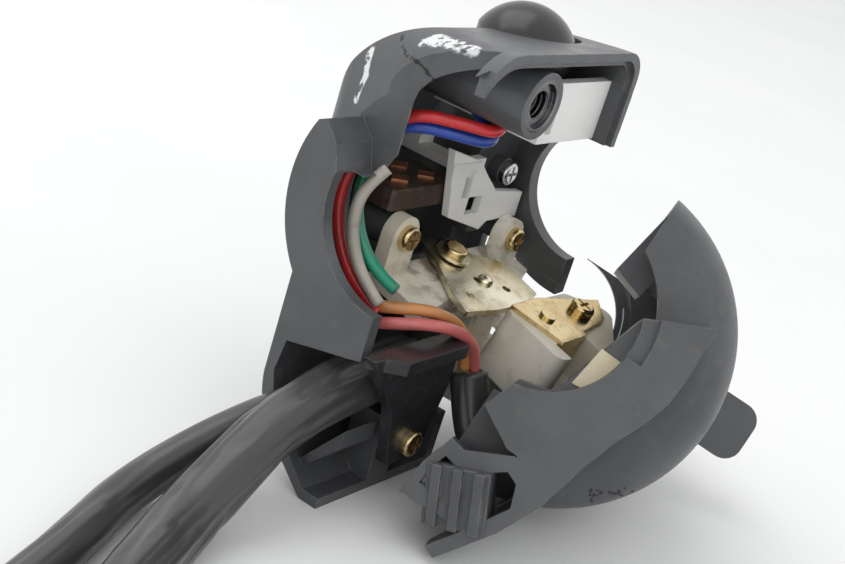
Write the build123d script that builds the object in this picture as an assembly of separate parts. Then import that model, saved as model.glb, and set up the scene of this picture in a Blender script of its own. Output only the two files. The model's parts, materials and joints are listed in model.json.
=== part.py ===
from build123d import *
import os
from math import asin, cos, degrees, radians, sin, tan

os.makedirs("parts", exist_ok=True)

# Left-hand switch cluster of a motorcycle handlebar, taken off the bar and opened.
# X runs along the bar towards the grip, Y points out of the open side of the rear
# half and Z is up. The origin is on the bar's axis, in the middle of the far wall.
# The forms of most skill are the filleted rear box and the domed front half.

# Bar and barrel sizes, in millimetres
bar_radius = 11.1
far_wall = 2.7
shell_wall = 2.0
body_length = 45.0
collar_length = 10.0
collar_bore = 12.9
barrel_near = 19.7
barrel_far = 17.3
near_plate = 2.0
overrun = 1.0
running_gap = 0.3
shaft_gap = 0.05

# Rear box over the bar
box_start = 9.7
rim_y = 5.0
rim_z = 26.4
box_rear = -26.8
box_foot = -17.0
box_inner = -6.0
roof_fall = 0.129
crest_radius = 21.0
near_wall_x = 51.5
near_slant = 0.436
near_corner = 6.0
far_corner = 5.0
near_roof = 9.0
far_roof = 4.5
rim_low = 11.4
rim_step = 0.8
break_points = [
    (5.0, 26.0),
    (3.4, 23.6),
    (1.8, 22.2),
    (1.0, 20.7),
    (-1.2, 20.1),
    (-2.6, 19.0),
    (-4.2, 19.4),
    (-5.3, 18.6),
    (-5.5, 15.8),
    (-6.3, 12.4),
    (-6.2, 9.8),
    (-7.3, 4.7),
    (-7.6, 3.0),
]

# Collar beside the box, cable neck below it and belly under the bar
crescent_top = [(-19.4, 8.1), (-16.2, 9.6), (-13.6, 6.9), (-12.4, 3.1)]
ledge_high = 8.0
ledge_low = 3.0
neck_start = 25.0
neck_depth = 15.0
neck_wall = 1.6
neck_low = -43.4
foot_slot = -18.6
switch_room = 13.8
lip_outer = (-12.7, -22.6)
lip_inner = -19.4
rib_thick = 1.8
belly_start = 4.0
belly_end = 27.0
belly_low = -31.0
belly_rim = -13.8

# Case screw boss with its threaded insert
boss_x = 34.1
boss_z = 18.5
boss_mouth = 4.0
boss_radius = 4.9
insert_radius = 3.9
insert_length = 12.0
insert_sink = 0.6
thread_bore = 2.1

# Horn button, its base and its spring
horn_x = 20.3
horn_y = -9.3
horn_centre = 20.4
horn_radius = 8.4
horn_skirt = 7.6
horn_flange = 8.3
horn_travel = 2.2
horn_wall = 1.6
flange_low = 18.0
flange_high = 19.0
base_start = 11.7
base_end = 28.7
base_back = -16.5
base_face = 2.0
base_low = 11.7
base_high = 20.9
base_thick = 1.6
slot_high = 2.6
spring_radius = 3.6
spring_wire = 0.6
spring_turns = 5

# Dimmer switch: contact block, copper pads, sliding bracket and knob
block_start = 20.5
block_end = 37.0
block_face = -13.0
block_back = -22.4
block_top = -1.2
block_height = 3.4
pad_long = 4.6
pad_wide = 3.0
pad_thick = 0.5
slide_face = -11.3
slide_thick = 1.3
slide_travel = 3.0
slide_outline = [
    (26.8, 5.1),
    (18.3, 2.8),
    (10.8, -2.9),
    (2.1, -3.8),
    (2.0, -8.1),
    (10.8, -8.1),
    (12.6, -9.4),
    (22.9, -6.3),
]
stem_x = 17.6
stem_z = 1.3
stem_wide = 4.0
stem_high = 3.0
knob_long = 11.0
knob_high = 6.5
knob_base = 2.2
knob_ridge = 2.8

# Turn-signal switch: tilted plane, pivot and moving pieces
pivot = (19.6, -10.58, -13.33)
tilt = 14.0
plate_thick = 1.0
pivot_radius = 1.6
washer_radius = 2.9
washer_thick = 0.5
rivet_head = 2.1
rivet_high = 2.4
swing = 10.0
arm_length = 17.8
arm_wide = 2.6
arm_tip = 0.6
plate_outline = [
    (-3.4, -4.2),
    (3.2, -3.6),
    (4.6, 0.4),
    (9.0, 7.5),
    (10.2, 11.4),
    (2.6, 12.6),
    (-4.0, 12.8),
    (-10.2, 11.6),
    (-10.6, 5.6),
    (-9.4, 2.8),
    (-5.0, 0.6),
]
carrier_outline = [(3.1, 13.4), (3.8, 25.7), (-10.8, 27.3), (-21.0, 20.2), (-14.6, 13.9)]
carrier_tongue = 9.6
carrier_top = 1.7
carrier_low = -9.0
carrier_round = 2.0
bridge_thick = 0.8
bridge_outline = [(2.4, 13.8), (-5.0, 13.8), (-19.4, 17.6), (-15.4, 21.6), (-8.0, 22.4), (0.4, 22.4)]
leg_start = -7.0
leg_end = 0.4
leg_face = 23.4
leg_low = -4.6
carrier_screw_at = (-11.5, 18.8)
turn_knob_long = 13.0
turn_knob_high = 7.6

# Nylon base of the turn-signal switch, held by two brass screws
base_gap = 0.5
switch_near = 40.0
slab_drop = 0.8
slab_thick = 2.2
swing_clear = 9.0
foot_start = 8.5
foot_end = 23.2
foot_front = 2.0
foot_back = -12.0
foot_top = -26.0
foot_low = -33.0
ear_near = (34.0, -8.0)
ear_far = (5.6, -10.6)
ear_radius = 3.2
ear_thick = 2.4
ear_face = -10.8
far_ear_face = -8.6
near_post_radius = 2.7
far_post_radius = 1.4
screw_reach = 5.6
silver_at = (6.2, -0.7)
silver_face = -13.4

# Screws
screw_head = 2.0
screw_rise = 1.5
screw_shank = 1.1
cross_wide = 0.5

# Cable clamp, its screw and the taped wire bundle in the neck
clamp_outline = [
    (33.0, -17.8),
    (55.0, -17.8),
    (46.5, -27.5),
    (43.5, -37.0),
    (36.0, -37.0),
    (34.0, -30.0),
    (33.0, -26.0),
]
clamp_back = 1.2
clamp_thick = 2.0
flange_outline = [(33.0, 1.2), (54.4, 1.2), (50.0, 5.6), (35.0, 5.6)]
flange_z = -17.8
flange_thick = 2.0
post_start = 37.0
post_end = 42.2
post_back = -5.7
post_high = -31.2
clamp_screw_at = (39.6, -34.0)
wrap_start = 28.0
wrap_end = 35.0
wrap_back = -11.2
wrap_front = -0.6
wrap_low = -32.6
wrap_high = -20.8

# Wires and sleeves
wire = 1.8
main_diameter = 8.6
side_diameter = 6.0
link_diameter = 6.0
floor_z = -43.4

# Front half, lying open beside the rear half
front_place = (-10.41, -4.86, -24.97)
front_turn = (-5.09, -25.12, 20.26)
dome = [
    (-1.35, 19.0, 0.0, 0.0),
    (9.0, 21.9, 0.7, -0.6),
    (20.0, 24.5, 1.5, -1.4),
    (29.0, 26.1, 2.5, -2.3),
    (36.5, 26.5, 3.0, -2.8),
    (40.8, 25.3, 2.9, -2.7),
    (43.65, 21.6, 2.0, -1.6),
]
front_step = 7.0
front_collar = [
    (12.0, 4.9),
    (15.75, 6.7),
    (21.1, 9.15),
    (21.5, 1.8),
    (21.2, -3.4),
    (20.1, -7.0),
    (18.3, -11.2),
    (16.5, -16.9),
    (14.7, -24.5),
    (11.6, -31.2),
    (6.2, -39.0),
    (4.4, -38.2),
    (7.6, -33.4),
    (11.3, -27.3),
    (10.1, -24.1),
    (7.7, -23.1),
    (8.1, -20.8),
    (6.3, -20.7),
    (0.3, -17.4),
    (2.3, -11.9),
    (7.4, -10.6),
]
front_pocket = [
    (14.4, 4.0),
    (18.2, 5.6),
    (19.5, 1.6),
    (19.2, -3.0),
    (18.2, -6.2),
    (16.4, -10.6),
    (14.7, -16.4),
    (13.0, -23.4),
    (11.9, -22.0),
    (10.0, -18.9),
    (6.6, -18.6),
    (3.4, -16.8),
    (4.6, -13.6),
    (9.6, -12.2),
    (13.6, -8.8),
    (15.6, -2.0),
]
front_plate = 2.2
front_ledge = 15.2
ledge_depth = 1.4
tab_outline = [(-2.8, -34.0), (-2.3, -28.5), (-0.8, -23.7), (3.4, -24.6), (5.4, -33.6)]
cross_outline = [(1.6, -24.2), (7.9, -20.9), (9.4, -22.4), (3.2, -27.0)]
pad_outline = [(5.1, 9.8), (6.9, 20.5), (12.7, 19.4), (10.2, 8.2)]
cream_outline = [(8.7, -8.2), (9.6, -1.8), (14.0, -2.0), (17.2, -3.6), (16.2, -8.6), (12.1, -7.9)]
cream_start = 46.4
cream_thick = 3.0

# Choke lever in the front half's far end
lever_start = 5.6
lever_thick = 4.6
lever_inner = 12.0
lever_outer = 16.6
lever_stem = 6.0
lever_flare = 24.0
lever_reach = 38.6
lever_wide = 10.0
lever_round = 3.0
lever_range = 30.0
lever_back = 22.0

body_face = -far_wall / 2 + body_length
near_face = body_face + collar_length
far_face = -far_wall / 2


def block(x, y, z):
    """Box between two values on each axis."""
    middle = tuple((low + high) / 2 for low, high in (x, y, z))
    size = [abs(high - low) for low, high in (x, y, z)]
    return Location(middle) * Box(*size)


def rod(centre, radius, length, axis="Z"):
    """Cylinder that starts at a point and runs along an axis."""
    turns = {"X": (0, 90, 0), "Y": (-90, 0, 0), "Z": (0, 0, 0)}
    align = (Align.CENTER, Align.CENTER, Align.MIN)
    return Location(centre, turns[axis]) * Cylinder(radius, length, align=align)


def polygon(points):
    return make_face(Polyline(*points, close=True))


def across(start, length, points):
    """Outline in Y and Z, run along the bar."""
    return extrude(Plane.YZ.offset(start) * polygon(points), amount=length)


def forward(start, length, points):
    """Outline in X and Z, run towards the open side."""
    plane = Plane((0, start, 0), x_dir=(1, 0, 0), z_dir=(0, -1, 0))
    return extrude(plane * polygon(points), amount=-length)


def upward(start, length, points, rounding=0):
    """Outline in X and Y, run up, with its corners rounded if asked."""
    face = polygon(points)
    if rounding:
        face = fillet(face.vertices(), rounding)
    return extrude(Plane.XY.offset(start) * face, amount=length)


def tilted(part):
    """Places a piece of the turn-signal switch on its tilted plane."""
    return Location(pivot, (-tilt, 0, 0)) * part


def laid(part):
    """Places a piece of the front half where it lies."""
    return Location(front_place, front_turn) * part


def bend_radii(points):
    """Largest even radius at each inner point of a route."""
    radii = []
    for before, here, after in zip(points, points[1:], points[2:]):
        first = Vector(here) - Vector(before)
        second = Vector(after) - Vector(here)
        half = radians(first.get_angle(second)) / 2
        radii.append(0.45 * min(first.length, second.length) / tan(half))
    return radii


def tube(points, diameter):
    """Round tube along straight runs joined by tangent arcs."""
    path = FilletPolyline(*points, radius=bend_radii(points)) if len(points) > 2 else Line(*points)
    section = Plane(path @ 0, z_dir=path % 0) * Circle(diameter / 2)
    return sweep(section, path=path)


def cord(name, points, diameter):
    """Tube along a free route, with its radii, length and volume printed."""
    body = tube(points, diameter)
    radii = bend_radii(points)
    path = FilletPolyline(*points, radius=radii)
    expected = 3.14159 * diameter**2 / 4 * path.length
    print(name, "radii", [round(r, 1) for r in radii], "length", round(path.length, 1))
    print(name, "volume share", round(body.volume / expected, 4))
    return body


# Rear half


def rear_section(inset, edge):
    """Side outline of the box, with its rounded crest."""
    rear = box_rear + inset
    radius = crest_radius - inset
    crest = rear + radius
    top = rim_z - inset + (edge - rim_y) * roof_fall
    roof = rim_z - inset + (crest - rim_y) * roof_fall
    shoulder = roof - radius
    share = cos(radians(45))
    bend = (crest - radius * share, shoulder + radius * share)
    inner = box_inner + (overrun if inset else 0)
    low = 0 if inset else rim_low
    return [
        Line((edge, top), (crest, roof)),
        ThreePointArc((crest, roof), bend, (rear, shoulder)),
        Line((rear, shoulder), (rear, box_foot + inset)),
        Line((rear, box_foot + inset), (inner, box_foot + inset)),
        Line((inner, box_foot + inset), (inner, low)),
        Line((inner, low), (edge, low)),
        Line((edge, low), (edge, top)),
    ]


def belly_depth():
    return barrel_far + shell_wall / 2


def box_plan(inset, edge):
    """Plan of the box, with its slanted near wall and rounded rear corners."""
    near = near_wall_x - inset
    rear = box_rear + inset
    start = box_start + inset
    outline = [
        (start, edge),
        (near + near_slant * edge, edge),
        (near + near_slant * rear, rear),
        (start, rear),
    ]
    face = polygon(outline)
    corners = face.vertices().sort_by(Axis.Y)[:2].sort_by(Axis.X)
    face = fillet(corners[1], near_corner - inset / 2)
    corner = face.vertices().sort_by(Axis.X)[:2].sort_by(Axis.Y)[0]
    face = fillet(corner, far_corner - inset / 2)
    return extrude(Plane.XY.offset(belly_low) * face, amount=rim_z + overrun - belly_low)


def near_shoulder(inset):
    """Rounded edge between the sloping roof and the slanted near wall."""
    depth = rim_y - box_rear + 3 * overrun
    start = box_start - depth
    end = near_wall_x + near_slant * (rim_y + 2 * overrun) - inset
    top = rim_z + 2 * overrun * roof_fall - inset
    low = belly_low - depth
    face = polygon([(start, low), (end, low), (end, top), (start, top)])
    upper = face.vertices().sort_by(Axis.Y)[-2:].sort_by(Axis.X)
    face = fillet(upper[1], near_roof - inset / 2)
    plane = Plane((0, rim_y + 2 * overrun, 0), x_dir=(1, 0, 0), z_dir=(0, -1, 0))
    along = Vector(-near_slant, -1, -roof_fall)
    return extrude(plane * face, amount=depth * along.length, dir=along.normalized())


def roof_profile(inset):
    """Front view of the box, with both upper corners rounded."""
    start = box_start + inset
    end = near_wall_x + near_slant * rim_y - inset
    top = rim_z - inset
    face = polygon([(start, belly_low), (end, belly_low), (end, top), (start, top)])
    upper = face.vertices().sort_by(Axis.Y)[-2:].sort_by(Axis.X)
    face = fillet(upper[1], near_roof - inset / 2)
    upper = face.vertices().sort_by(Axis.X)[:2].sort_by(Axis.Y)
    face = fillet(upper[1], far_roof - inset / 2)
    plane = Plane((0, rim_y + 2 * overrun, 0), x_dir=(1, 0, 0), z_dir=(0, -1, 0))
    return extrude(plane * face, amount=rim_y - box_rear + 3 * overrun)


def switch_box(inset, edge):
    """Rounded box over and behind the bar."""
    start = box_start + inset
    length = near_wall_x + near_slant * edge - inset - start
    body = extrude(Plane.YZ.offset(start) * make_face(rear_section(inset, edge)), amount=length)
    return body & box_plan(inset, edge) & roof_profile(inset) & near_shoulder(inset)


def barrel(inset, start, end):
    """Half of the tapered barrel round the bar, between two places along it."""
    slope = (barrel_near - barrel_far) / (near_face - far_face)
    first = barrel_far + slope * (start - far_face) - inset
    last = barrel_far + slope * (end - far_face) - inset
    align = (Align.CENTER, Align.CENTER, Align.MIN)
    whole = Location((start, 0, 0), (0, 90, 0)) * Cone(first, last, end - start, align=align)
    edge = overrun if inset else 0
    reach = 2 * barrel_near
    return whole & block((start, end), (-reach, edge), (-reach, reach))


def crescent_cut(inset):
    """Space over the collar's sloping upper end."""
    rear, peak, step, end = crescent_top
    top = rim_z
    outline = [(-barrel_near - overrun, rear[1] - inset), (rear[0], rear[1] - inset)]
    outline += [(peak[0], peak[1] - inset), (step[0], step[1] - inset), (end[0], end[1] - inset)]
    outline += [(0, end[1] - inset), (2 * overrun, end[1] - inset)]
    outline += [(2 * overrun, top), (-barrel_near - overrun, top)]
    return outline


def neck_outline(inset, edge):
    """Section of the cable neck, a deep trough open to the front."""
    rear = -neck_depth + inset
    low = neck_low + inset
    bend = low * 0.66
    return [
        Line((edge, -bar_radius), (rear, -bar_radius)),
        Line((rear, -bar_radius), (rear, bend)),
        ThreePointArc((rear, bend), (rear * 0.85, low * 0.81), (rear * 0.5, low * 0.92)),
        Line((rear * 0.5, low * 0.92), (rear * 0.22, low)),
        Line((rear * 0.22, low), (edge, low)),
        Line((edge, low), (edge, -bar_radius)),
    ]


def neck(inset, start, end, edge):
    return extrude(Plane.YZ.offset(start) * make_face(neck_outline(inset, edge)), amount=end - start)


def belly(inset):
    """Deeper housing under the bar, behind the nylon base."""
    rear = -belly_depth() + inset
    edge = belly_rim + (overrun if inset else 0)
    low = belly_low + inset
    outline = [(edge, -bar_radius), (rear, -bar_radius), (rear, low / 2), (rear, low), (edge, low)]
    start = belly_start + inset
    return across(start, belly_end - inset - start, outline)


def rear_shell():
    outer = switch_box(0, rim_y) + barrel(0, far_face, near_face) + belly(0)
    outer += neck(0, neck_start, near_face, 0)
    outer -= across(body_face + shell_wall, collar_length, crescent_cut(0))
    hollow = switch_box(shell_wall, rim_y + overrun)
    hollow += barrel(shell_wall, far_face + far_wall, near_face - near_plate) - block(
        (body_face - near_corner, near_face), (-barrel_near, 2 * overrun), (ledge_low, barrel_near)
    )
    hollow += belly(shell_wall)
    hollow += neck(neck_wall, neck_start + neck_wall, near_face - near_plate, overrun)
    shell = outer - hollow - under_bar_space()
    shell -= rod((far_face - overrun, 0, 0), bar_radius, near_face, "X") - block(
        (near_wall_x - collar_length, near_face), (-barrel_near, rim_y), (-barrel_near, 0)
    )
    shell -= rod((near_face - 2 * near_plate, 0, 0), collar_bore, 3 * near_plate, "X")
    shell -= mouth_cut() + rim_cut() + broken_window() + control_openings()
    shell += boss() + clamp_post() + neck_rib() + switch_posts()
    return shell - post_holes()


def under_bar_space():
    """Open space under the bar for the turn-signal switch."""
    start = far_face + far_wall + shaft_gap
    side = (-switch_room, overrun)
    middle = block((start, neck_start + shell_wall), side, (foot_low - overrun, -bar_radius * 0.8))
    return middle + block((neck_start, switch_near), side, (foot_slot, -bar_radius * 0.8))


def mouth_cut():
    """Opening of the cable neck below the near plate's lower edge."""
    low = neck_low + neck_wall
    outline = [
        (overrun, lip_inner),
        (lip_outer[0], lip_outer[1]),
        (-neck_depth + neck_wall, low * 0.66),
        (-neck_depth * 0.78, low * 0.8),
        (-neck_depth * 0.44, low * 0.92),
        (-neck_depth * 0.2, low),
        (overrun, low),
    ]
    return across(near_face - 2 * near_plate, 3 * near_plate, outline)


def rim_cut():
    """Lower edge of the box's open side and the step inside its rim."""
    start = box_start - overrun
    low = block((start, near_face + overrun), (0, rim_y + overrun), (-bar_radius, rim_low))
    step = switch_box(shell_wall - rim_step, rim_y + overrun)
    return low + (step & block((0, near_face), (rim_y - rim_step, 2 * rim_y), (0, rim_z)))


def broken_window():
    """Piece broken out of the near wall, with its ragged edge."""
    outline = [(rim_y + overrun, rim_z - overrun / 2)] + break_points
    outline += [(rim_y + overrun, break_points[-1][1])]
    start = near_wall_x - barrel_near / 2 + overrun
    return across(start, barrel_near, outline) & box_near_band()


def box_near_band():
    """Band that holds the near wall only, not the roof beside it."""
    skin = box_plan(-overrun, rim_y + overrun) - box_plan(shell_wall + overrun, rim_y + 2 * overrun)
    along = (near_wall_x - barrel_near, near_face + overrun)
    return skin & block(along, (box_rear, 2 * rim_y), (0, rim_z))


def control_openings():
    """Openings for the horn button, the dimmer stem and the turn-signal arm."""
    hole = rod((horn_x, horn_y, flange_high), horn_skirt + running_gap, rim_z)
    wall = (box_rear - overrun, box_rear + shell_wall + overrun)
    half = stem_wide / 2 + running_gap
    tall = stem_high / 2 + running_gap
    stem = block((stem_x - half, stem_x + slide_travel + half), wall, (stem_z - tall, stem_z + tall))
    centre = pivot[2] + arm_length * sin(radians(tilt))
    reach = arm_wide / 2 + arm_length * tan(radians(swing)) + running_gap
    slot = block((pivot[0] - reach, pivot[0] + reach), wall, (centre - 2.4, centre + 1.6))
    return hole + stem + slot


def boss():
    """Case screw boss, standing on the rear wall of the box."""
    length = boss_mouth - box_rear - shell_wall / 2
    body = rod((boss_x, boss_mouth - length, boss_z), boss_radius, length, "Y")
    body &= switch_box(shell_wall / 2, rim_y + overrun)
    seat = (boss_x, boss_mouth - insert_length, boss_z)
    return body - rod(seat, insert_radius, insert_length + overrun, "Y")


def clamp_post():
    """Post under the cable clamp, rising from the neck's lip."""
    post = block((post_start, post_end), (post_back, 0), (neck_low + neck_wall / 2, post_high))
    x, z = clamp_screw_at
    return post - rod((x, post_back - overrun, z), screw_shank, 2 * neck_depth, "Y")


def neck_rib():
    """Slanted rib that parts the two channels of the neck."""
    start = (-0.2, neck_low * 0.72)
    end = (-neck_depth * 0.42, neck_low * 0.9)
    outline = [start, end, (end[0], end[1] - rib_thick), (start[0], start[1] - 1.6 * rib_thick)]
    return across(near_face - collar_length, collar_length - near_plate, outline)


def switch_posts():
    """Posts behind the nylon base's two ears and the silver screw."""
    x, z = ear_near
    start = box_rear + shell_wall / 2
    posts = rod((x, start, z), near_post_radius, ear_face - ear_thick - start, "Y")
    x, z = ear_far
    start = -barrel_far + shell_wall
    posts += rod((x, start, z), far_post_radius, far_ear_face - ear_thick - start, "Y")
    x, z = silver_at
    start = -barrel_far + shell_wall / 2
    return posts + rod((x, start, z), ear_radius - overrun, silver_face - start, "Y")


def post_holes():
    """Screw holes of the posts behind the ears and the silver screw."""
    holes = Part()
    for (x, z), face in ((ear_near, ear_face), (ear_far, far_ear_face), (silver_at, silver_face)):
        holes += rod((x, face - screw_reach, z), screw_shank, screw_reach + overrun, "Y")
    return holes


# Screws and small pieces of the rear half


def screw(point, direction, shank, length):
    """Cross-recessed pan head screw whose head sits on a point."""
    align = (Align.CENTER, Align.CENTER, Align.MIN)
    head = Cylinder(screw_head, screw_rise, align=align)
    head = fillet(head.edges().sort_by(Axis.Z)[-1], screw_rise * 0.4)
    slot = Box(screw_head * 1.3, cross_wide, screw_rise)
    head -= Location((0, 0, screw_rise)) * (slot + Rotation(0, 0, 90) * slot)
    pin = Cylinder(shank, length, align=(Align.CENTER, Align.CENTER, Align.MAX))
    return Plane(point, z_dir=direction) * (head + pin)


def rivet(point, direction, radius, rise, length):
    """Round-headed rivet whose head sits on a point."""
    head = Cylinder(radius, rise, align=(Align.CENTER, Align.CENTER, Align.MIN))
    head = fillet(head.edges().sort_by(Axis.Z)[-1], rise * 0.5)
    pin = Cylinder(radius * 0.6, length, align=(Align.CENTER, Align.CENTER, Align.MAX))
    return Plane(point, z_dir=direction) * (head + pin)


def screw_insert():
    """Steel insert with its threaded bore, flush with the boss."""
    start = boss_mouth - insert_length
    body = rod((boss_x, start, boss_z), insert_radius, insert_length, "Y")
    body -= rod((boss_x, start - overrun, boss_z), thread_bore, insert_length + 2 * overrun, "Y")
    mouth = (boss_x, boss_mouth - insert_sink, boss_z)
    return body - rod(mouth, insert_radius - insert_sink, overrun, "Y")


def horn_base():
    """Upright plate and shelf that carry the horn button's spring."""
    face = (base_face - base_thick, base_face)
    plate = block((base_start, base_end), face, (base_low, base_high))
    shelf = block((base_start, base_end), (base_back, base_face), (base_low, base_low + base_thick))
    notch_end = base_end - base_thick
    low = base_high - 3 * slot_high
    notch = block((notch_end - base_thick, notch_end), (0, base_face + overrun), (low, low + slot_high))
    return plate + shelf - notch


def horn_button():
    """Domed button with its skirt and retaining flange, hollow below."""
    cap_base = horn_centre + (horn_radius**2 - horn_skirt**2) ** 0.5
    centre = Location((horn_x, horn_y, horn_centre))
    middle = (horn_x, horn_y)
    cap = (centre * Sphere(horn_radius)) & rod((*middle, cap_base), horn_radius, horn_radius)
    body = cap + rod((*middle, flange_low), horn_skirt, cap_base - flange_low)
    body += rod((*middle, flange_low), horn_flange, flange_high - running_gap - flange_low)
    inner = rod((*middle, flange_low - overrun), horn_skirt - horn_wall, cap_base - flange_low)
    return body - inner


def horn_spring():
    """Compression spring between the shelf and the button."""
    low = base_low + base_thick + spring_wire
    cap_base = horn_centre + (horn_radius**2 - horn_skirt**2) ** 0.5 - overrun
    high = cap_base - spring_wire
    path = Helix((high - low) / spring_turns, high - low, spring_radius)
    section = Plane(path @ 0, z_dir=path % 0) * Circle(spring_wire)
    return Location((horn_x, horn_y, low)) * sweep(section, path=path)


def terminal_block():
    """Moulded contact block under the box."""
    tall = (block_top - block_height, block_top)
    body = block((block_start, block_end), (block_back, block_face), tall)
    body = chamfer(body.edges().filter_by(Axis.Z), pad_thick)
    step = block_start - base_thick
    lower = (block_top - block_height, block_top - overrun)
    body += block((step, block_start + overrun), (block_back, block_face - pad_wide), lower)
    back = box_rear + shell_wall
    for x in (block_start + pad_wide, block_end - 3 * pad_wide):
        body += block((x, x + pad_wide / 2), (back, block_back + overrun), lower)
    return body


def copper_contacts():
    """Four diamond-shaped copper pads on the contact block."""
    pads = Part()
    for column, row in ((0, 0), (1, 0), (0, 1), (1, 1)):
        x = block_start + pad_long + column * pad_long * 1.5 + row * pad_wide * 0.5
        y = block_face - pad_wide - row * pad_wide * 1.4
        half, deep = pad_long / 2, pad_wide / 2
        diamond = [(x - half, y), (x, y - deep), (x + half, y), (x, y + deep)]
        pads += upward(block_top, pad_thick, diamond)
    return pads


def bar_room():
    """The bar with its running gap, which the pieces beside it leave free."""
    return rod((0, 0, 0), bar_radius + running_gap, near_face, "X")


def dimmer_slide():
    """White bracket with its window and slot, and the stem to its knob."""
    start = slide_face - slide_thick
    plate = forward(start, slide_thick, slide_outline)
    mid_x = (slide_outline[1][0] + slide_outline[2][0]) / 2
    low, high = slide_outline[7][1], slide_outline[1][1]
    through = (start - overrun, slide_face + overrun)
    window = block((mid_x, mid_x + stem_wide), through, (low, low + stem_high))
    slot = block(
        (slide_outline[7][0] - stem_wide, slide_outline[7][0] - stem_wide / 2),
        through,
        (low + stem_high, high - stem_high / 2),
    )
    along = (slide_outline[1][0], slide_outline[0][0] - overrun)
    rail = block(along, (slide_face, slide_face + slide_thick), (high - slide_thick, high))
    half = stem_wide / 2
    tall = (stem_z - stem_high / 2, stem_z + stem_high / 2)
    stem = block((stem_x - half, stem_x + half), (box_rear, start + overrun / 2), tall)
    wide = (stem_x - half - overrun, stem_x + half + overrun)
    stem -= block(wide, (block_back, start - overrun), (stem_z, stem_z + stem_high))
    return plate + rail - window - slot + stem - bar_room()


def knob(centre_x, centre_z, length, height):
    """Thumb knob with a rounded base plate and a ridge, on the rear face."""
    front = box_rear - running_gap
    plane = Plane((centre_x, front, centre_z), x_dir=(1, 0, 0), z_dir=(0, -1, 0))
    plate = extrude(plane * RectangleRounded(length, height, height / 4), amount=knob_base)
    face = plane * RectangleRounded(length / 2, height * 0.8, height / 5)
    ridge = extrude(face, amount=knob_base + knob_ridge)
    ridge = fillet(ridge.faces().sort_by(Axis.Y)[0].edges(), knob_ridge / 3)
    return plate + ridge


def dimmer_knob():
    body = knob(stem_x, stem_z, knob_long, knob_high)
    half, tall = stem_wide / 2 - overrun / 2, stem_high / 2 - overrun / 2
    deep = (box_rear - running_gap - overrun, box_rear)
    neck_block = block((stem_x - half, stem_x + half), deep, (stem_z - tall, stem_z + tall))
    return body + neck_block


# Turn-signal switch


def switch_base():
    """White nylon base with its slab, foot, ears and side arm."""
    slab = Part() + upward(-slab_drop - slab_thick, slab_thick, slab_outline(), base_gap)
    body = tilted(slab)
    section = [
        (foot_back, pivot[2] - slab_thick),
        (foot_back + slab_thick, pivot[2] - slab_drop - slab_thick),
        (foot_back + 3 * slab_thick, pivot[2] - 3 * slab_thick),
        (foot_back + 3 * slab_thick, foot_top),
        (foot_front, foot_top),
        (foot_front, foot_low),
        (foot_back, foot_low),
    ]
    foot = across(foot_start, foot_end - foot_start, section)
    along = (foot_start + slab_thick, foot_end - slab_thick)
    deep = (foot_back + slab_thick, foot_front - slab_thick)
    foot -= block(along, deep, (foot_low - overrun, foot_top - slab_thick))
    body += fillet(foot.edges().filter_by(Axis.X).sort_by(Axis.Y)[-2:], overrun)
    for (x, z), front in ((ear_near, ear_face), (ear_far, far_ear_face)):
        face = front - ear_thick
        foot_z = pivot[2] - slab_thick
        ear = rod((x, face, z), ear_radius, ear_thick, "Y")
        ear += block((x - ear_radius, x + ear_radius), (face, front), (foot_z, z))
        ear += block((x - ear_radius, x + ear_radius), (face, foot_back), (foot_z, foot_z + slab_thick))
        body += ear - rod((x, face - overrun, z), screw_shank, near_face, "Y")
    depth = -slab_drop - 3 * slab_thick
    return body - tilted(rod((0, 0, depth), rivet_head * 0.6, -depth))


def slab_outline():
    """Outline of the slab under the swinging plate, in the tilted plane."""
    near, far = ear_near[0] + ear_radius - pivot[0], ear_far[0] - ear_radius - pivot[0]
    return [
        (far, -2.0),
        (near, -2.0),
        (near, swing_clear),
        (near / 2, swing_clear * 0.8),
        (far / 2, swing_clear * 0.8),
        (far, swing_clear * 0.6),
    ]


def base_screws():
    screws = Part()
    for (x, z), front in ((ear_near, ear_face), (ear_far, far_ear_face)):
        screws += screw((x, front, z), (0, 1, 0), screw_shank, screw_reach)
    return screws


def silver_screw():
    x, z = silver_at
    return screw((x, silver_face, z), (0, 1, 0), screw_shank, ear_thick)


def pivot_rivet():
    """Fixed rivet that the plate swings on."""
    washer_top = plate_thick / 2 + running_gap + washer_thick
    depth = washer_top + slab_drop + slab_thick
    return tilted(rivet((0, 0, washer_top), (0, 0, 1), rivet_head, rivet_high - washer_top, depth))


def pivot_washer():
    low = plate_thick / 2 + running_gap
    ring = rod((0, 0, low), washer_radius, washer_thick)
    return tilted(ring - rod((0, 0, 0), rivet_head * 0.6, rivet_high))


def turn_plate():
    """Swinging steel plate with its arm to the knob."""
    face = fillet(polygon(plate_outline).vertices(), overrun / 2)
    plate = extrude(Plane.XY.offset(-plate_thick / 2) * face, amount=plate_thick)
    half = arm_wide / 2
    plate += block((-half, half), (-arm_length - arm_tip, 0), (-plate_thick / 2, plate_thick / 2))
    plate -= rod((0, 0, -plate_thick), rivet_head * 0.6 + shaft_gap, 2 * plate_thick)
    for x, y in ((0.1, 5.9), (5.4, 8.4), (-4.2, 9.1)):
        plate -= rod((x, y, -plate_thick), 0.7, 2 * plate_thick)
    return tilted(plate)


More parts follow.
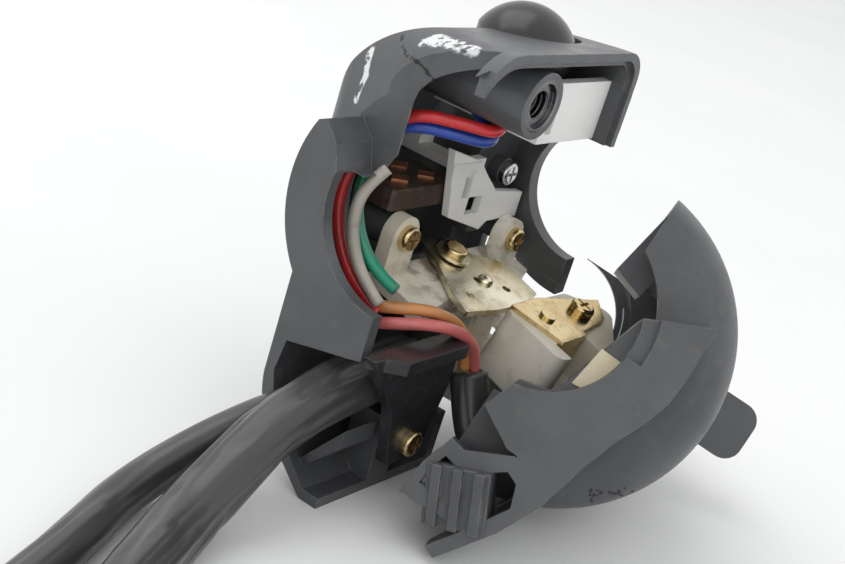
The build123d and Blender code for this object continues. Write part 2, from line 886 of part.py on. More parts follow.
def contact_carrier():
    """White block that the plate swings, with a pocket for the contact leg."""
    body = upward(carrier_low, carrier_top - carrier_low, carrier_outline, carrier_round)
    tongue = [(-9.0, carrier_tongue), (1.6, carrier_tongue), (1.6, 14.0), (-9.0, 14.0)]
    body += upward(-3.0 * plate_thick, 2.5 * plate_thick, tongue)
    front = carrier_outline[2][1] + overrun
    back = leg_face - bridge_thick
    along = (leg_start - overrun / 2, leg_end + overrun / 2)
    body -= block(along, (back, front), (leg_low - overrun, carrier_top + overrun))
    x, y = carrier_screw_at
    return tilted(body - rod((x, y, carrier_low / 2), screw_shank, near_face))


def contact_bridge():
    """Brass plate on the block, with its folded contact leg."""
    plate = upward(carrier_top, bridge_thick, bridge_outline)
    back = leg_face - bridge_thick
    tall = (carrier_top, carrier_top + bridge_thick)
    plate += block((leg_start, leg_end), (back - overrun, leg_face), tall)
    plate += block((leg_start, leg_end), (back, leg_face), (leg_low, carrier_top + bridge_thick))
    x, y = carrier_screw_at
    return tilted(plate - rod((x, y, 0), screw_shank, near_face))


def carrier_screw():
    x, y = carrier_screw_at
    return tilted(screw((x, y, carrier_top + bridge_thick), (0, 0, 1), screw_shank, -carrier_low / 2))


def bridge_rivets():
    """Rivet on the bridge's top and the contact button on its leg."""
    top = rod((-2.5, 17.9, carrier_top + bridge_thick), 1.3, 0.5)
    middle = (leg_start + leg_end) / 2
    button = rod((middle, leg_face, leg_low / 2), 1.2, 0.7, "Y")
    return tilted(top + button)


def turn_knob():
    """Sliding thumb knob, with a pocket for the arm's end."""
    centre = pivot[2] + arm_length * sin(radians(tilt))
    body = knob(pivot[0], centre, turn_knob_long, turn_knob_high)
    half = arm_wide / 2 + 2 * running_gap
    tall = plate_thick / 2 + arm_wide / 2
    deep = (box_rear - knob_base, box_rear + overrun)
    pocket = block((pivot[0] - half, pivot[0] + half), deep, (centre - tall, centre + tall / 2))
    return body - pocket


# Cable clamp, wires and sleeves


def cable_clamp():
    """Black strap over the neck, with its flange under the bar."""
    wall = forward(clamp_back, clamp_thick, clamp_outline)
    flange = upward(flange_z - flange_thick, flange_thick, flange_outline)
    x, z = clamp_screw_at
    return wall + flange - rod((x, 0, z), screw_shank, near_face, "Y")


def clamp_screw():
    x, z = clamp_screw_at
    return screw((x, clamp_back + clamp_thick, z), (0, 1, 0), screw_shank, 3 * clamp_thick)


def harness_wrap():
    """Taped bundle in the neck, where the wires gather into the sleeves."""
    body = block((wrap_start, wrap_end), (wrap_back, wrap_front), (wrap_low, wrap_high))
    return fillet(body.edges().filter_by(Axis.X), overrun)


def collar_wire(place):
    """Wire bent round the inside of the collar, down into the neck."""
    radius = collar_bore + collar_wire_out[place]
    x = near_wall_x - collar_length / 2 + collar_wire_along[place]
    first, last = collar_wire_turn
    steps = [first + (last - first) * share / 5 for share in range(6)]
    arc = [(x, radius * cos(radians(step)), radius * sin(radians(step))) for step in steps]
    return tube(arc, wire)


collar_wire_out = [3.3, 1.3, -0.6]
collar_wire_along = [3.5, 2.9, 2.3]
collar_wire_turn = (172, 250)
amber_shift = (-2.1, -1.6, -0.1)
blue_shift = (-4.2, -3.2, -0.2)
pink_shift = (-0.2, 2.3, 0.9)
upper_wire = [
    (42.0, -14.5, 3.0),
    (42.2, -13.4, 9.8),
    (41.4, -9.5, 12.4),
    (37.0, -3.8, 12.5),
    (34.8, -2.0, 12.5),
]
lower_wire = [
    (47.0, -4.4, -14.0),
    (43.0, -1.2, -15.0),
    (37.5, 1.6, -15.3),
    (32.4, 2.7, -16.9),
    (30.0, 3.2, -19.6),
    (29.3, 3.3, -23.6),
]


def shifted_wire(points, step):
    """Wire that runs beside another one."""
    x, y, z = step
    return tube([(a + x, b + y, c + z) for a, b, c in points], wire)


def link_route():
    return [(29.2, 3.8, -24.4), (29.6, 6.2, -30.0), (31.6, 10.4, -34.0), (35.6, 14.6, -35.0)]


main_route = [
    (35.2, -3.8, -25.1),
    (57.0, -3.8, -25.1),
    (76.5, -4.0, -39.1),
    (97.0, 5.0, -39.1),
    (122.0, 14.0, -39.1),
    (141.0, 34.0, -39.1),
    (143.0, 60.0, -39.1),
    (124.0, 80.0, -39.1),
    (97.0, 82.0, -39.1),
    (77.0, 66.0, -39.1),
    (76.0, 44.0, -39.1),
]
main_ways = 3
side_ways = 2
side_route = [
    (35.2, -8.8, -30.6),
    (57.0, -8.8, -30.6),
    (76.0, -14.5, -40.4),
    (97.0, -6.0, -40.4),
    (126.0, 3.0, -40.4),
    (150.0, 26.0, -40.4),
    (154.0, 60.0, -40.4),
    (133.0, 88.0, -40.4),
    (102.0, 94.0, -40.4),
    (74.0, 86.0, -40.4),
]
connector_long = 22.0
connector_wide = 18.0
connector_high = 9.0
boot_long = 8.0


def connector(route, ways):
    """Multi-way plug housing at a sleeve's end, lying on the floor."""
    end = Vector(route[-1])
    heading = (end - Vector(route[-2])).normalized()
    plane = Plane(end, x_dir=(-heading.Y, heading.X, 0), z_dir=heading)
    wide = connector_wide * ways / 3
    body = extrude(plane * RectangleRounded(wide, connector_high, overrun), amount=connector_long)
    front = Plane(end + heading * (connector_long - boot_long), x_dir=plane.x_dir, z_dir=heading)
    pitch = wide / ways
    for step in range(ways):
        place = (step - (ways - 1) / 2) * pitch
        hole = Rectangle(pitch - 2 * overrun, connector_high - 3 * overrun)
        body -= extrude(front * Location((place, 0, 0)) * hole, amount=2 * boot_long)
    lift = floor_z + connector_high / 2 - end.Z
    return Location((0, 0, lift)) * body


# Front half, in its own frame


def dome_body(inset):
    """Bulging body as a loft of circles along the bar."""
    sections = []
    for step, (x, radius, y, z) in enumerate(dome):
        place = x
        if inset and step == 0:
            place = x + far_wall
        if inset and step == len(dome) - 1:
            place = x - inset
        sections.append(Plane.YZ.offset(place) * Location((y, z, 0)) * Circle(radius - inset))
    return loft(sections)




def front_shell():
    reach = 5 * barrel_near
    body = dome_body(0)
    keep = block((-collar_length, near_face), (0, 2 * barrel_near), (-2 * barrel_near, 2 * barrel_near))
    keep -= block((-collar_length, near_face), (-overrun, front_step), (bar_radius, 2 * barrel_near))
    hollow = dome_body(shell_wall)
    shell = (body & keep) - hollow
    shell -= rod((far_face - overrun, 0, 0), bar_radius, near_face, "X")
    shell -= rod((body_face - 2 * shell_wall, 0, 0), front_ledge, collar_length, "X")
    start = body_face - 2 * shell_wall
    shell += across(start, near_face - start, front_collar)
    shell -= across(start - shell_wall, near_face - front_plate - start + shell_wall, front_pocket)
    shell -= rod((near_face - 2 * front_plate, 0, 0), collar_bore, near_face, "X")
    shell -= rod((near_face - ledge_depth, 0, 0), front_ledge, near_face, "X") & block(
        (0, near_face + overrun), (0, barrel_near), (-overrun, rim_low)
    )
    for piece in front_neck() + front_ribs():
        shell += piece
    shell -= lever_slot()
    under = block((-reach, reach), (-reach, reach), (floor_z - reach, floor_z))
    tunnel = tube(link_route(), link_diameter + 2 * running_gap)
    return laid(shell) - under - cream_spacer() - tunnel


def front_neck():
    """Channel wall, tab and cross rib round the link sleeve."""
    length = collar_length
    end = body_face - 2 * shell_wall + overrun
    neck_walls = across(near_face - 3 * length, end - near_face + 3 * length, channel_outline())
    tab = across(near_face - length / 2, length / 2, tab_outline)
    tab -= across(near_face - length, length, scaled(tab_outline, 0.5))
    cross = across(near_face - front_plate, front_plate, cross_outline)
    return [neck_walls, tab, cross]


def channel_outline():
    """Outer wall of the channel, a band inside the near outline's edge."""
    outer = [(y - shaft_gap, z + shaft_gap) for y, z in front_collar[6:11]]
    inner = [(y - shell_wall, z + shell_wall / 2) for y, z in reversed(outer)]
    return outer + inner


def scaled(points, share):
    """Outline shrunk about its own middle."""
    count = len(points)
    middle_y = sum(y for y, z in points) / count
    middle_z = sum(z for y, z in points) / count
    return [(middle_y + (y - middle_y) * share, middle_z + (z - middle_z) * share) for y, z in points]


def front_ribs():
    """Parting block, lever guides and far parting rib."""
    pad = across(body_face - 2 * collar_length, 1.2 * collar_length, pad_outline)
    ribs = [pad]
    for start in (lever_start - running_gap - overrun, lever_start + lever_thick + running_gap):
        reach = 2 * barrel_near
        hole = rod((start, 0, 0), lever_inner + overrun, overrun, "X")
        ring = rod((start, 0, 0), reach, overrun, "X") - hole
        ring &= block((0, near_face), (overrun, reach), (-reach, bar_radius))
        ribs.append(ring & dome_body(shell_wall / 2))
    return ribs


def lever_slot():
    """Slot in the far end that the choke lever's stem sweeps through."""
    low = -degrees(asin((lever_stem / 2 + running_gap) / lever_outer)) - 1
    high = lever_range - low
    reach = 2 * barrel_near
    wedge = [(0, 0), (reach, reach * tan(radians(low))), (reach, reach * tan(radians(high)))]
    start = lever_start - running_gap
    cut = across(start, lever_thick + 2 * running_gap, wedge)
    return cut - rod((start - overrun, 0, 0), lever_outer - 2 * overrun, near_face, "X")


def cream_spacer():
    return laid(across(cream_start, cream_thick, cream_outline))


def choke_lever():
    """Ring sector round the bar with its flared thumb paddle."""
    ring = rod((lever_start, 0, 0), lever_outer, lever_thick, "X")
    ring -= rod((lever_start - overrun, 0, 0), lever_inner, near_face, "X")
    reach = 2 * barrel_near
    limit = reach * tan(radians(lever_back))
    wedge = [(0, -limit / 4), (reach, -limit), (reach, limit), (0, limit / 4)]
    ring &= across(lever_start - overrun, near_face, wedge)
    half, wide = lever_stem / 2, lever_wide / 2
    root = (lever_inner + lever_outer) / 2
    outline = [(root, -half), (lever_flare, -half), (lever_flare + half, -wide), (lever_reach, -wide)]
    outline += [(y, -z) for y, z in reversed(outline)]
    face = polygon(outline)
    tips = face.vertices().sort_by(Axis.X)[-2:]
    face = fillet(tips, lever_round)
    return laid(ring + extrude(Plane.YZ.offset(lever_start) * face, amount=lever_thick))


def main():
    nodes = {
        "rear_shell": rear_shell(),
        "screw_insert": screw_insert(),
        "horn_base": horn_base(),
        "horn_button": horn_button(),
        "horn_spring": horn_spring(),
        "terminal_block": terminal_block(),
        "copper_contacts": copper_contacts(),
        "dimmer_slide": dimmer_slide(),
        "dimmer_knob": dimmer_knob(),
        "switch_base": switch_base(),
        "base_screws": base_screws(),
        "silver_screw": silver_screw(),
        "pivot_rivet": pivot_rivet(),
        "pivot_washer": pivot_washer(),
        "turn_plate": turn_plate(),
        "contact_carrier": contact_carrier(),
        "contact_bridge": contact_bridge(),
        "carrier_screw": carrier_screw(),
        "bridge_rivets": bridge_rivets(),
        "turn_knob": turn_knob(),
        "cable_clamp": cable_clamp(),
        "clamp_screw": clamp_screw(),
        "harness_wrap": harness_wrap(),
        "front_shell": front_shell(),
        "cream_spacer": cream_spacer(),
        "choke_lever": choke_lever(),
        "main_sleeve": cord("main_sleeve", main_route, main_diameter),
        "side_sleeve": cord("side_sleeve", side_route, side_diameter),
        "link_sleeve": cord("link_sleeve", link_route(), link_diameter),
        "main_connector": connector(main_route, main_ways),
        "side_connector": connector(side_route, side_ways),
        "red_wire": collar_wire(0),
        "green_wire": collar_wire(1),
        "grey_wire": collar_wire(2),
        "crimson_wire": shifted_wire(upper_wire, (0, 0, 0)),
        "amber_wire": shifted_wire(upper_wire, amber_shift),
        "blue_wire": shifted_wire(upper_wire, blue_shift),
        "orange_wire": shifted_wire(lower_wire, (0, 0, 0)),
        "pink_wire": shifted_wire(lower_wire, pink_shift),
    }
    for name, part in nodes.items():
        export_step(part, f"parts/{name}.step")


main()
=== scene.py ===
import json
import logging
import math
from collections.abc import Callable, Iterator, Sequence
from contextlib import contextmanager
from dataclasses import dataclass
from enum import Enum

import bmesh
import bpy
from mathutils import Matrix, Vector, noise


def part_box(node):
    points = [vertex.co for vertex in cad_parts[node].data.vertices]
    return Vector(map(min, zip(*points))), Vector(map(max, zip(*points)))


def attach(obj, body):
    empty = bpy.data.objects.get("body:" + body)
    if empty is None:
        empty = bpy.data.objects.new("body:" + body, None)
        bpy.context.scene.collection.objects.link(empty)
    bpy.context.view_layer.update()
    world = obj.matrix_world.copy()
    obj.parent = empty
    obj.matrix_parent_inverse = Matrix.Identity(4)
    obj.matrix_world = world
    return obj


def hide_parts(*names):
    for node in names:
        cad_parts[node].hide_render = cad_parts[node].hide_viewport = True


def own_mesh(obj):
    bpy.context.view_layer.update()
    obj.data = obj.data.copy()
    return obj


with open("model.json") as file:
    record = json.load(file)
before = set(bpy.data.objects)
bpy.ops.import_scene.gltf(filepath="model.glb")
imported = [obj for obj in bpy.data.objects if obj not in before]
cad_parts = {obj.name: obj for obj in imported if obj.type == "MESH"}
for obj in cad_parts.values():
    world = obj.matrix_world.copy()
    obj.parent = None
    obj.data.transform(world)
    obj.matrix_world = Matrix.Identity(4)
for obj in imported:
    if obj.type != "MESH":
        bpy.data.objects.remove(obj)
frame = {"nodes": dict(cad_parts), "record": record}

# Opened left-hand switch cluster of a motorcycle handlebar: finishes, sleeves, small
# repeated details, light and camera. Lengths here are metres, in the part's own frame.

log = logging.getLogger("switch_cluster")

MM = 0.001
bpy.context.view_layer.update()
IMAGE_WIDTH = 845
FOCAL_PIXELS = 1500.0
SENSOR_WIDTH = 36.0
FLOOR_Z = -0.0434
MERGE_REACH = 1e-7

# How the noise of every finish turns into patches, grime, rubbed edges, gloss and bump.
PATCH_RANGE = (0.35, 0.68)
GRIME_FINER = 4.3
GRIME_START = 0.78
GRIME_SPREAD = 0.3
GRIME_SOFT = 0.16
EDGE_FACING = (0.995, 0.9)
RUB_SCALE = 420.0
RUB_RANGE = (0.42, 0.62)
GLOSS_FINER = 2.1
GLOSS_RANGE = (0.3, 0.7)
GRAIN_COARSER = 7.0
COARSE_SHARE = 0.6

Colour = tuple[float, float, float]
Point = tuple[float, float, float]
Profile = tuple[tuple[float, float], ...]
Faces = list[tuple[int, ...]]


class Body(Enum):
    """Moving bodies of the part that the scene's own pieces ride on."""

    HOUSING = "housing"
    DIMMER = "dimmer"
    TURN_SWITCH = "turn_switch"
    TURN_THUMB = "turn_thumb"


class Tree:
    """Short hand for building a node tree.

    Args:
        tree: The shader or geometry node tree to fill.
    """

    def __init__(self, tree: bpy.types.NodeTree) -> None:
        """Keep the tree and empty it."""
        self.tree = tree
        tree.nodes.clear()

    def add(self, kind: str, values: dict | None = None, **options: object) -> bpy.types.Node:
        """Add one node, set its options and fill its sockets.

        Args:
            kind: Blender's name of the node's type.
            values: Socket name or number, with a plain value or another node's socket.
            **options: Properties of the node itself.

        Returns:
            The new node.
        """
        node = self.tree.nodes.new(kind)
        for name, option in options.items():
            setattr(node, name, option)
        for socket, value in (values or {}).items():
            self.put(node.inputs[socket], value)
        return node

    def put(self, socket: bpy.types.NodeSocket, value: object) -> None:
        """Link another node's socket to an input, or set the input's plain value.

        Args:
            socket: The input.
            value: The other node's socket, or the value.
        """
        if isinstance(value, bpy.types.NodeSocket):
            self.tree.links.new(value, socket)
        else:
            socket.default_value = value

    def math(self, operation: str, *values: object, clamp: bool = False) -> bpy.types.NodeSocket:
        """Add a Math node.

        Args:
            operation: Blender's name of the operation.
            *values: The numbers or sockets that it takes, in order.
            clamp: Whether the result is kept from 0 to 1.

        Returns:
            The node's output.
        """
        numbered = dict(enumerate(values))
        return self.add("ShaderNodeMath", numbered, operation=operation, use_clamp=clamp).outputs[0]

    def vector(self, operation: str, first: object, second: object) -> bpy.types.NodeSocket:
        """Add a Vector Math node of two vectors and return its number."""
        values = {0: first, 1: second}
        return self.add("ShaderNodeVectorMath", values, operation=operation).outputs["Value"]

    def noise(self, where: object, scale: float, detail: float = 3.0) -> bpy.types.NodeSocket:
        """Add a Noise Texture and return its factor."""
        values = {"Vector": where, "Scale": scale, "Detail": detail, "Roughness": 0.55}
        return self.add("ShaderNodeTexNoise", values).outputs["Fac"]

    def ramp(self, value: object, low: float, high: float) -> bpy.types.NodeSocket:
        """Map a value to a share, with a soft bend at both ends.

        Args:
            value: The number or socket that is mapped.
            low: Value that gives 0.
            high: Value that gives 1; it may be the smaller one.

        Returns:
            The socket with the share.
        """
        values = {"Value": value, "From Min": low, "From Max": high}
        node = self.add("ShaderNodeMapRange", values, interpolation_type="SMOOTHSTEP")
        return node.outputs["Result"]

    def mix(self, share: object, first: object, second: object) -> bpy.types.NodeSocket:
        """Mix two colours.

        Args:
            share: Share of the second colour, from 0 to 1.
            first: First colour, or its socket.
            second: Second colour, or its socket.

        Returns:
            The socket with the mixed colour.
        """
        node = self.add("ShaderNodeMix", data_type="RGBA")
        for index, value in ((0, share), (6, first), (7, second)):
            if isinstance(value, tuple):
                value = (*value, 1.0)
            self.put(node.inputs[index], value)
        return node.outputs[2]


@dataclass(frozen=True)
class Finish:
    """Finish of one material slot, drawn with noise in the part's own space.

    Args:
        name: Name of the material.
        colour: Main colour.
        patch: Colour of the larger patches.
        grime: Colour of what settled on it.
        rough: Lowest and highest roughness.
        grime_share: How much of the surface the grime takes, from 0 to 1.
        grain: Cells of the fine bump per metre.
        relief: Height of the fine bump in metres.
        patch_scale: Cells of the patches per metre.
        metallic: 1 for metal, else 0.
        coat: Weight of the clear coat.
        subsurface: Weight of light that passes under the surface.
        edge: Colour of rubbed edges, or None.
        round_edge: Radius in metres by which sharp edges look rounded.
    """

    name: str
    colour: Colour
    patch: Colour
    grime: Colour
    rough: tuple[float, float]
    grime_share: float = 0.3
    grain: float = 1600.0
    relief: float = 0.00003
    patch_scale: float = 90.0
    metallic: float = 0.0
    coat: float = 0.0
    subsurface: float = 0.0
    edge: Colour | None = None
    round_edge: float = 0.0002

    def marks(self, tree: Tree, where: object, colour: object) -> bpy.types.NodeSocket:
        """Add marks of a finish's own to the colour; the plain finish has none."""
        return colour

    def height(self, tree: Tree, where: object) -> bpy.types.NodeSocket:
        """Height of the fine bump.

        Args:
            tree: The material's tree.
            where: Socket with the shaded point.

        Returns:
            The socket with the height.
        """
        fine = tree.noise(where, self.grain, 2.0)
        coarse = tree.noise(where, self.grain / GRAIN_COARSER, 3.0)
        return tree.math("MULTIPLY_ADD", coarse, COARSE_SHARE, fine)

    def build(self) -> bpy.types.Material:
        """Make the material.

        Returns:
            The finished material, named after the finish.
        """
        material = bpy.data.materials.new(self.name)
        material.use_nodes = True
        tree = Tree(material.node_tree)
        where = tree.add("ShaderNodeTexCoord").outputs["Object"]
        broad = tree.ramp(tree.noise(where, self.patch_scale), *PATCH_RANGE)
        colour = tree.mix(broad, self.colour, self.patch)
        settled = tree.noise(where, self.patch_scale * GRIME_FINER, 5.0)
        high = GRIME_START - GRIME_SPREAD * self.grime_share
        dirt = tree.math("MULTIPLY", tree.ramp(settled, high - GRIME_SOFT, high), self.grime_share)
        colour = tree.mix(dirt, colour, self.grime)
        bevel = tree.add("ShaderNodeBevel", {"Radius": self.round_edge}, samples=4).outputs[0]
        if self.edge is not None:
            normal = tree.add("ShaderNodeNewGeometry").outputs["Normal"]
            sharp = tree.ramp(tree.vector("DOT_PRODUCT", bevel, normal), *EDGE_FACING)
            spots = tree.ramp(tree.noise(where, RUB_SCALE), *RUB_RANGE)
            colour = tree.mix(tree.math("MULTIPLY", sharp, spots), colour, self.edge)
        colour = self.marks(tree, where, colour)
        gloss = tree.noise(where, self.patch_scale * GLOSS_FINER, 4.0)
        span = ("From Min", "From Max", "To Min", "To Max")
        values = {"Value": gloss, **dict(zip(span, (*GLOSS_RANGE, *self.rough)))}
        rough = tree.add("ShaderNodeMapRange", values).outputs["Result"]
        bump = {"Height": self.height(tree, where), "Distance": self.relief, "Normal": bevel}
        normal = tree.add("ShaderNodeBump", bump).outputs["Normal"]
        values = {"Base Color": colour, "Roughness": rough, "Normal": normal}
        shader = tree.add("ShaderNodeBsdfPrincipled", values)
        shader.inputs["Metallic"].default_value = self.metallic
        shader.inputs["Coat Weight"].default_value = self.coat
        shader.inputs["Subsurface Weight"].default_value = self.subsurface
        shader.inputs["Subsurface Scale"].default_value = MM
        tree.add("ShaderNodeOutputMaterial", {"Surface": shader.outputs[0]})
        return material


@dataclass(frozen=True)
class StainedNylon(Finish):
    """White nylon with old grease round the pivot of the turn-signal switch.

    Args:
        centre: Middle of the stain.
        reach: Distance at which the stain ends.
        core: Distance at which it is full.
        blot_scale: Cells of the blots per metre.
        blot_range: Noise from which a blot starts, and from which it is full.
        strength: Share of the grease's colour in a blot.
    """

    centre: Point = (0.0196, -0.0106, -0.0133)
    reach: float = 0.021
    core: float = 0.00315
    blot_scale: float = 260.0
    blot_range: tuple[float, float] = (0.42, 0.6)
    strength: float = 0.85

    def marks(self, tree: Tree, where: object, colour: object) -> bpy.types.NodeSocket:
        """Brown the surface near the pivot, in uneven blots.

        Args:
            tree: The material's tree.
            where: Socket with the shaded point.
            colour: Colour so far, or its socket.

        Returns:
            The socket with the marked colour.
        """
        near = tree.ramp(tree.vector("DISTANCE", where, self.centre), self.reach, self.core)
        blots = tree.ramp(tree.noise(where, self.blot_scale, 5.0), *self.blot_range)
        stain = tree.math("MULTIPLY", near, blots)
        return tree.mix(tree.math("MULTIPLY", stain, self.strength), colour, self.grime)


@dataclass(frozen=True)
class ScuffedPlastic(Finish):
    """Black housing plastic with scraped white marks and a crack.

    Args:
        strokes: Start, end and half width of each scrape.
        crack: Points along the crack.
        scrape: Colour of the scraped plastic.
        depth: Colour inside the crack.
        gap: Half width of the crack.
        gap_soft: Half width at which the crack has faded, as a share of gap.
        ragged_range: Noise from which a scrape starts, and from which it is full.
        wander: How far a scrape's edge wanders, as a share of its half width.
        core: Full part of a scrape, as a share of its half width.
        jag: How far the crack wanders, in metres.
    """

    strokes: tuple[tuple[Point, Point, float], ...] = ()
    crack: tuple[Point, ...] = ()
    scrape: Colour = (0.82, 0.83, 0.84)
    depth: Colour = (0.003, 0.003, 0.003)
    gap: float = 0.00018
    gap_soft: float = 1.6
    ragged_range: tuple[float, float] = (0.4, 0.52)
    wander: float = 0.8
    core: float = 0.55
    jag: float = 0.0006

    def marks(self, tree: Tree, where: object, colour: object) -> bpy.types.NodeSocket:
        """Scrape the surface white along each stroke, raggedly, and draw the crack.

        Args:
            tree: The material's tree.
            where: Socket with the shaded point.
            colour: Colour so far, or its socket.

        Returns:
            The socket with the marked colour.
        """
        ragged = tree.ramp(tree.noise(where, 900.0, 5.0), *self.ragged_range)
        for start, end, half in self.strokes:
            away = self.distance(tree, where, Vector(start), Vector(end))
            drift = half * self.wander
            wander = tree.math("MULTIPLY_ADD", tree.noise(where, 330.0), 2 * drift, -drift)
            near = tree.ramp(tree.math("ADD", away, wander), half, half * self.core)
            colour = tree.mix(tree.math("MULTIPLY", near, ragged), colour, self.scrape)
        jag = tree.math("MULTIPLY_ADD", tree.noise(where, 1400.0, 4.0), 2 * self.jag, -self.jag)
        for start, end in zip(self.crack, self.crack[1:]):
            away = self.distance(tree, where, Vector(start), Vector(end))
            away = tree.math("ABSOLUTE", tree.math("ADD", away, jag))
            share = tree.ramp(away, self.gap * self.gap_soft, self.gap)
            colour = tree.mix(share, colour, self.depth)
        return colour

    @staticmethod
    def distance(tree: Tree, where: object, start: Vector, end: Vector) -> bpy.types.NodeSocket:
        """Distance of the shaded point from a straight stroke.

        Args:
            tree: The material's tree.
            where: Socket with the point.
            start: One end of the stroke.
            end: Its other end.

        Returns:
            The socket with the distance in metres.
        """
        along = end - start
        offset = tree.add("ShaderNodeVectorMath", {0: where, 1: start}, operation="SUBTRACT")
        dot = tree.vector("DOT_PRODUCT", offset.outputs[0], along)
        share = tree.math("DIVIDE", dot, along.length_squared, clamp=True)
        values = {0: along, "Scale": share}
        foot = tree.add("ShaderNodeVectorMath", values, operation="SCALE")
        return tree.vector("DISTANCE", offset.outputs[0], foot.outputs[0])


BLACK: Colour = (0.072, 0.075, 0.08)
BLACK_WORN: Colour = (0.092, 0.096, 0.102)
RUBBED: Colour = (0.24, 0.24, 0.245)
DUST: Colour = (0.2, 0.19, 0.17)
GREASE: Colour = (0.1, 0.065, 0.03)
SCRAPES: tuple[tuple[Point, Point, float], ...] = (
    ((0.0418, -0.0205, 0.0174), (0.0429, -0.0196, 0.0144), 0.0009),
    ((0.0429, -0.0196, 0.0144), (0.0427, -0.0202, 0.0104), 0.0007),
    ((0.0434, -0.0115, 0.022), (0.0429, -0.0102, 0.023), 0.0011),
    ((0.0429, -0.0102, 0.023), (0.0442, -0.0062, 0.0237), 0.0018),
    ((0.0442, -0.0062, 0.0237), (0.0454, -0.0021, 0.0246), 0.0013),
)
CRACK: tuple[Point, ...] = (
    (0.0415, -0.0165, 0.0212), (0.0422, -0.0159, 0.0206), (0.0445, -0.0128, 0.0196),
    (0.0457, -0.0101, 0.0199), (0.0456, -0.008, 0.019), (0.0457, -0.0067, 0.0186),
)


def wire_finish(name: str, colour: Colour) -> Finish:
    """Glossy insulation of a thin wire."""
    darker = tuple(part * 0.7 for part in colour)
    return Finish(name, colour, darker, GREASE, (0.25, 0.42), 0.25, coat=0.2, round_edge=0.00005)


FINISHES: dict[str, Finish] = {
    "black_plastic": Finish(
        "moulded black plastic", BLACK, BLACK_WORN, DUST, (0.38, 0.52), 0.16, edge=RUBBED
    ),
    "scuffed_plastic": ScuffedPlastic(
        "scuffed black plastic", BLACK, BLACK_WORN, DUST, (0.3, 0.46), 0.12,
        edge=RUBBED, strokes=SCRAPES, crack=CRACK,
    ),
    "glossy_plastic": Finish(
        "glossy black plastic", (0.022, 0.022, 0.025), (0.03, 0.03, 0.033), DUST, (0.18, 0.32),
        0.12, 900.0, 0.00001, edge=(0.09, 0.09, 0.09),
    ),
    "bright_steel": Finish(
        "bright zinc steel", (0.72, 0.73, 0.74), (0.6, 0.61, 0.62), (0.2, 0.19, 0.17),
        (0.16, 0.34), 0.25, 1400.0, 0.00001, 200.0, metallic=1.0,
    ),
    "dark_steel": Finish(
        "dark oiled steel", (0.2, 0.2, 0.21), (0.12, 0.12, 0.125), (0.05, 0.045, 0.04),
        (0.16, 0.32), 0.3, 1400.0, 0.00001, 200.0, metallic=1.0,
    ),
    "zinc_steel": Finish(
        "yellow zinc steel", (0.82, 0.77, 0.6), (0.72, 0.62, 0.4), (0.22, 0.15, 0.07),
        (0.2, 0.38), 0.34, 1100.0, 0.00001, 70.0, metallic=1.0,
    ),
    "brass": Finish(
        "tarnished brass", (0.72, 0.58, 0.32), (0.62, 0.46, 0.22), (0.16, 0.1, 0.04),
        (0.16, 0.32), 0.34, 1500.0, 0.00001, 160.0, metallic=1.0,
    ),
    "copper": Finish(
        "dull copper", (0.62, 0.27, 0.14), (0.4, 0.16, 0.08), (0.08, 0.04, 0.03),
        (0.28, 0.5), 0.4, 1500.0, 0.00002, 320.0, metallic=1.0,
    ),
    "white_nylon": StainedNylon(
        "stained white nylon", (0.87, 0.83, 0.72), (0.78, 0.72, 0.58), GREASE,
        (0.34, 0.55), 0.2, 1300.0, 0.00002, 70.0, subsurface=0.06,
    ),
    "clean_nylon": Finish(
        "clean white nylon", (0.87, 0.87, 0.84), (0.83, 0.83, 0.79), (0.4, 0.36, 0.3),
        (0.34, 0.5), 0.12, 1300.0, 0.00002, 60.0, subsurface=0.06,
    ),
    # Painted light: a whiter copy of the clean nylon, raised to make up for the shade that the
    # shell casts on the bracket and horn base.
    "painted_light_nylon": Finish(
        "nylon whitened as painted light", (0.93, 0.93, 0.91), (0.89, 0.89, 0.86), (0.5, 0.46, 0.4),
        (0.34, 0.5), 0.1, 1300.0, 0.00002, 60.0, subsurface=0.06,
    ),
    "cream_plastic": Finish(
        "aged cream plastic", (0.76, 0.68, 0.5), (0.68, 0.57, 0.38), GREASE, (0.4, 0.6), 0.25
    ),
    "phenolic": Finish(
        "brown phenolic board", (0.06, 0.034, 0.024), (0.035, 0.022, 0.018), DUST,
        (0.4, 0.6), 0.3,
    ),
    "tape": Finish(
        "wrapped black tape", (0.02, 0.02, 0.021), (0.035, 0.035, 0.036), DUST, (0.3, 0.5)
    ),
    "sleeve_vinyl": Finish(
        "soft black vinyl", (0.045, 0.046, 0.047), (0.052, 0.053, 0.054), DUST, (0.28, 0.38), 0.07,
        500.0, 0.00003, 45.0, coat=0.12,
    ),
    "red_wire": wire_finish("red insulation", (0.68, 0.03, 0.035)),
    "green_wire": wire_finish("green insulation", (0.01, 0.29, 0.17)),
    "grey_wire": wire_finish("grey insulation", (0.46, 0.43, 0.37)),
    "blue_wire": wire_finish("blue insulation", (0.02, 0.07, 0.42)),
    # Pink for a red wire: partly its white stripe averaged into the red, partly a painted
    # highlight.
    "pink_wire": wire_finish("red insulation with stripe and painted highlight", (0.8, 0.2, 0.19)),
    "orange_wire": wire_finish("orange insulation", (0.7, 0.3, 0.1)),
}


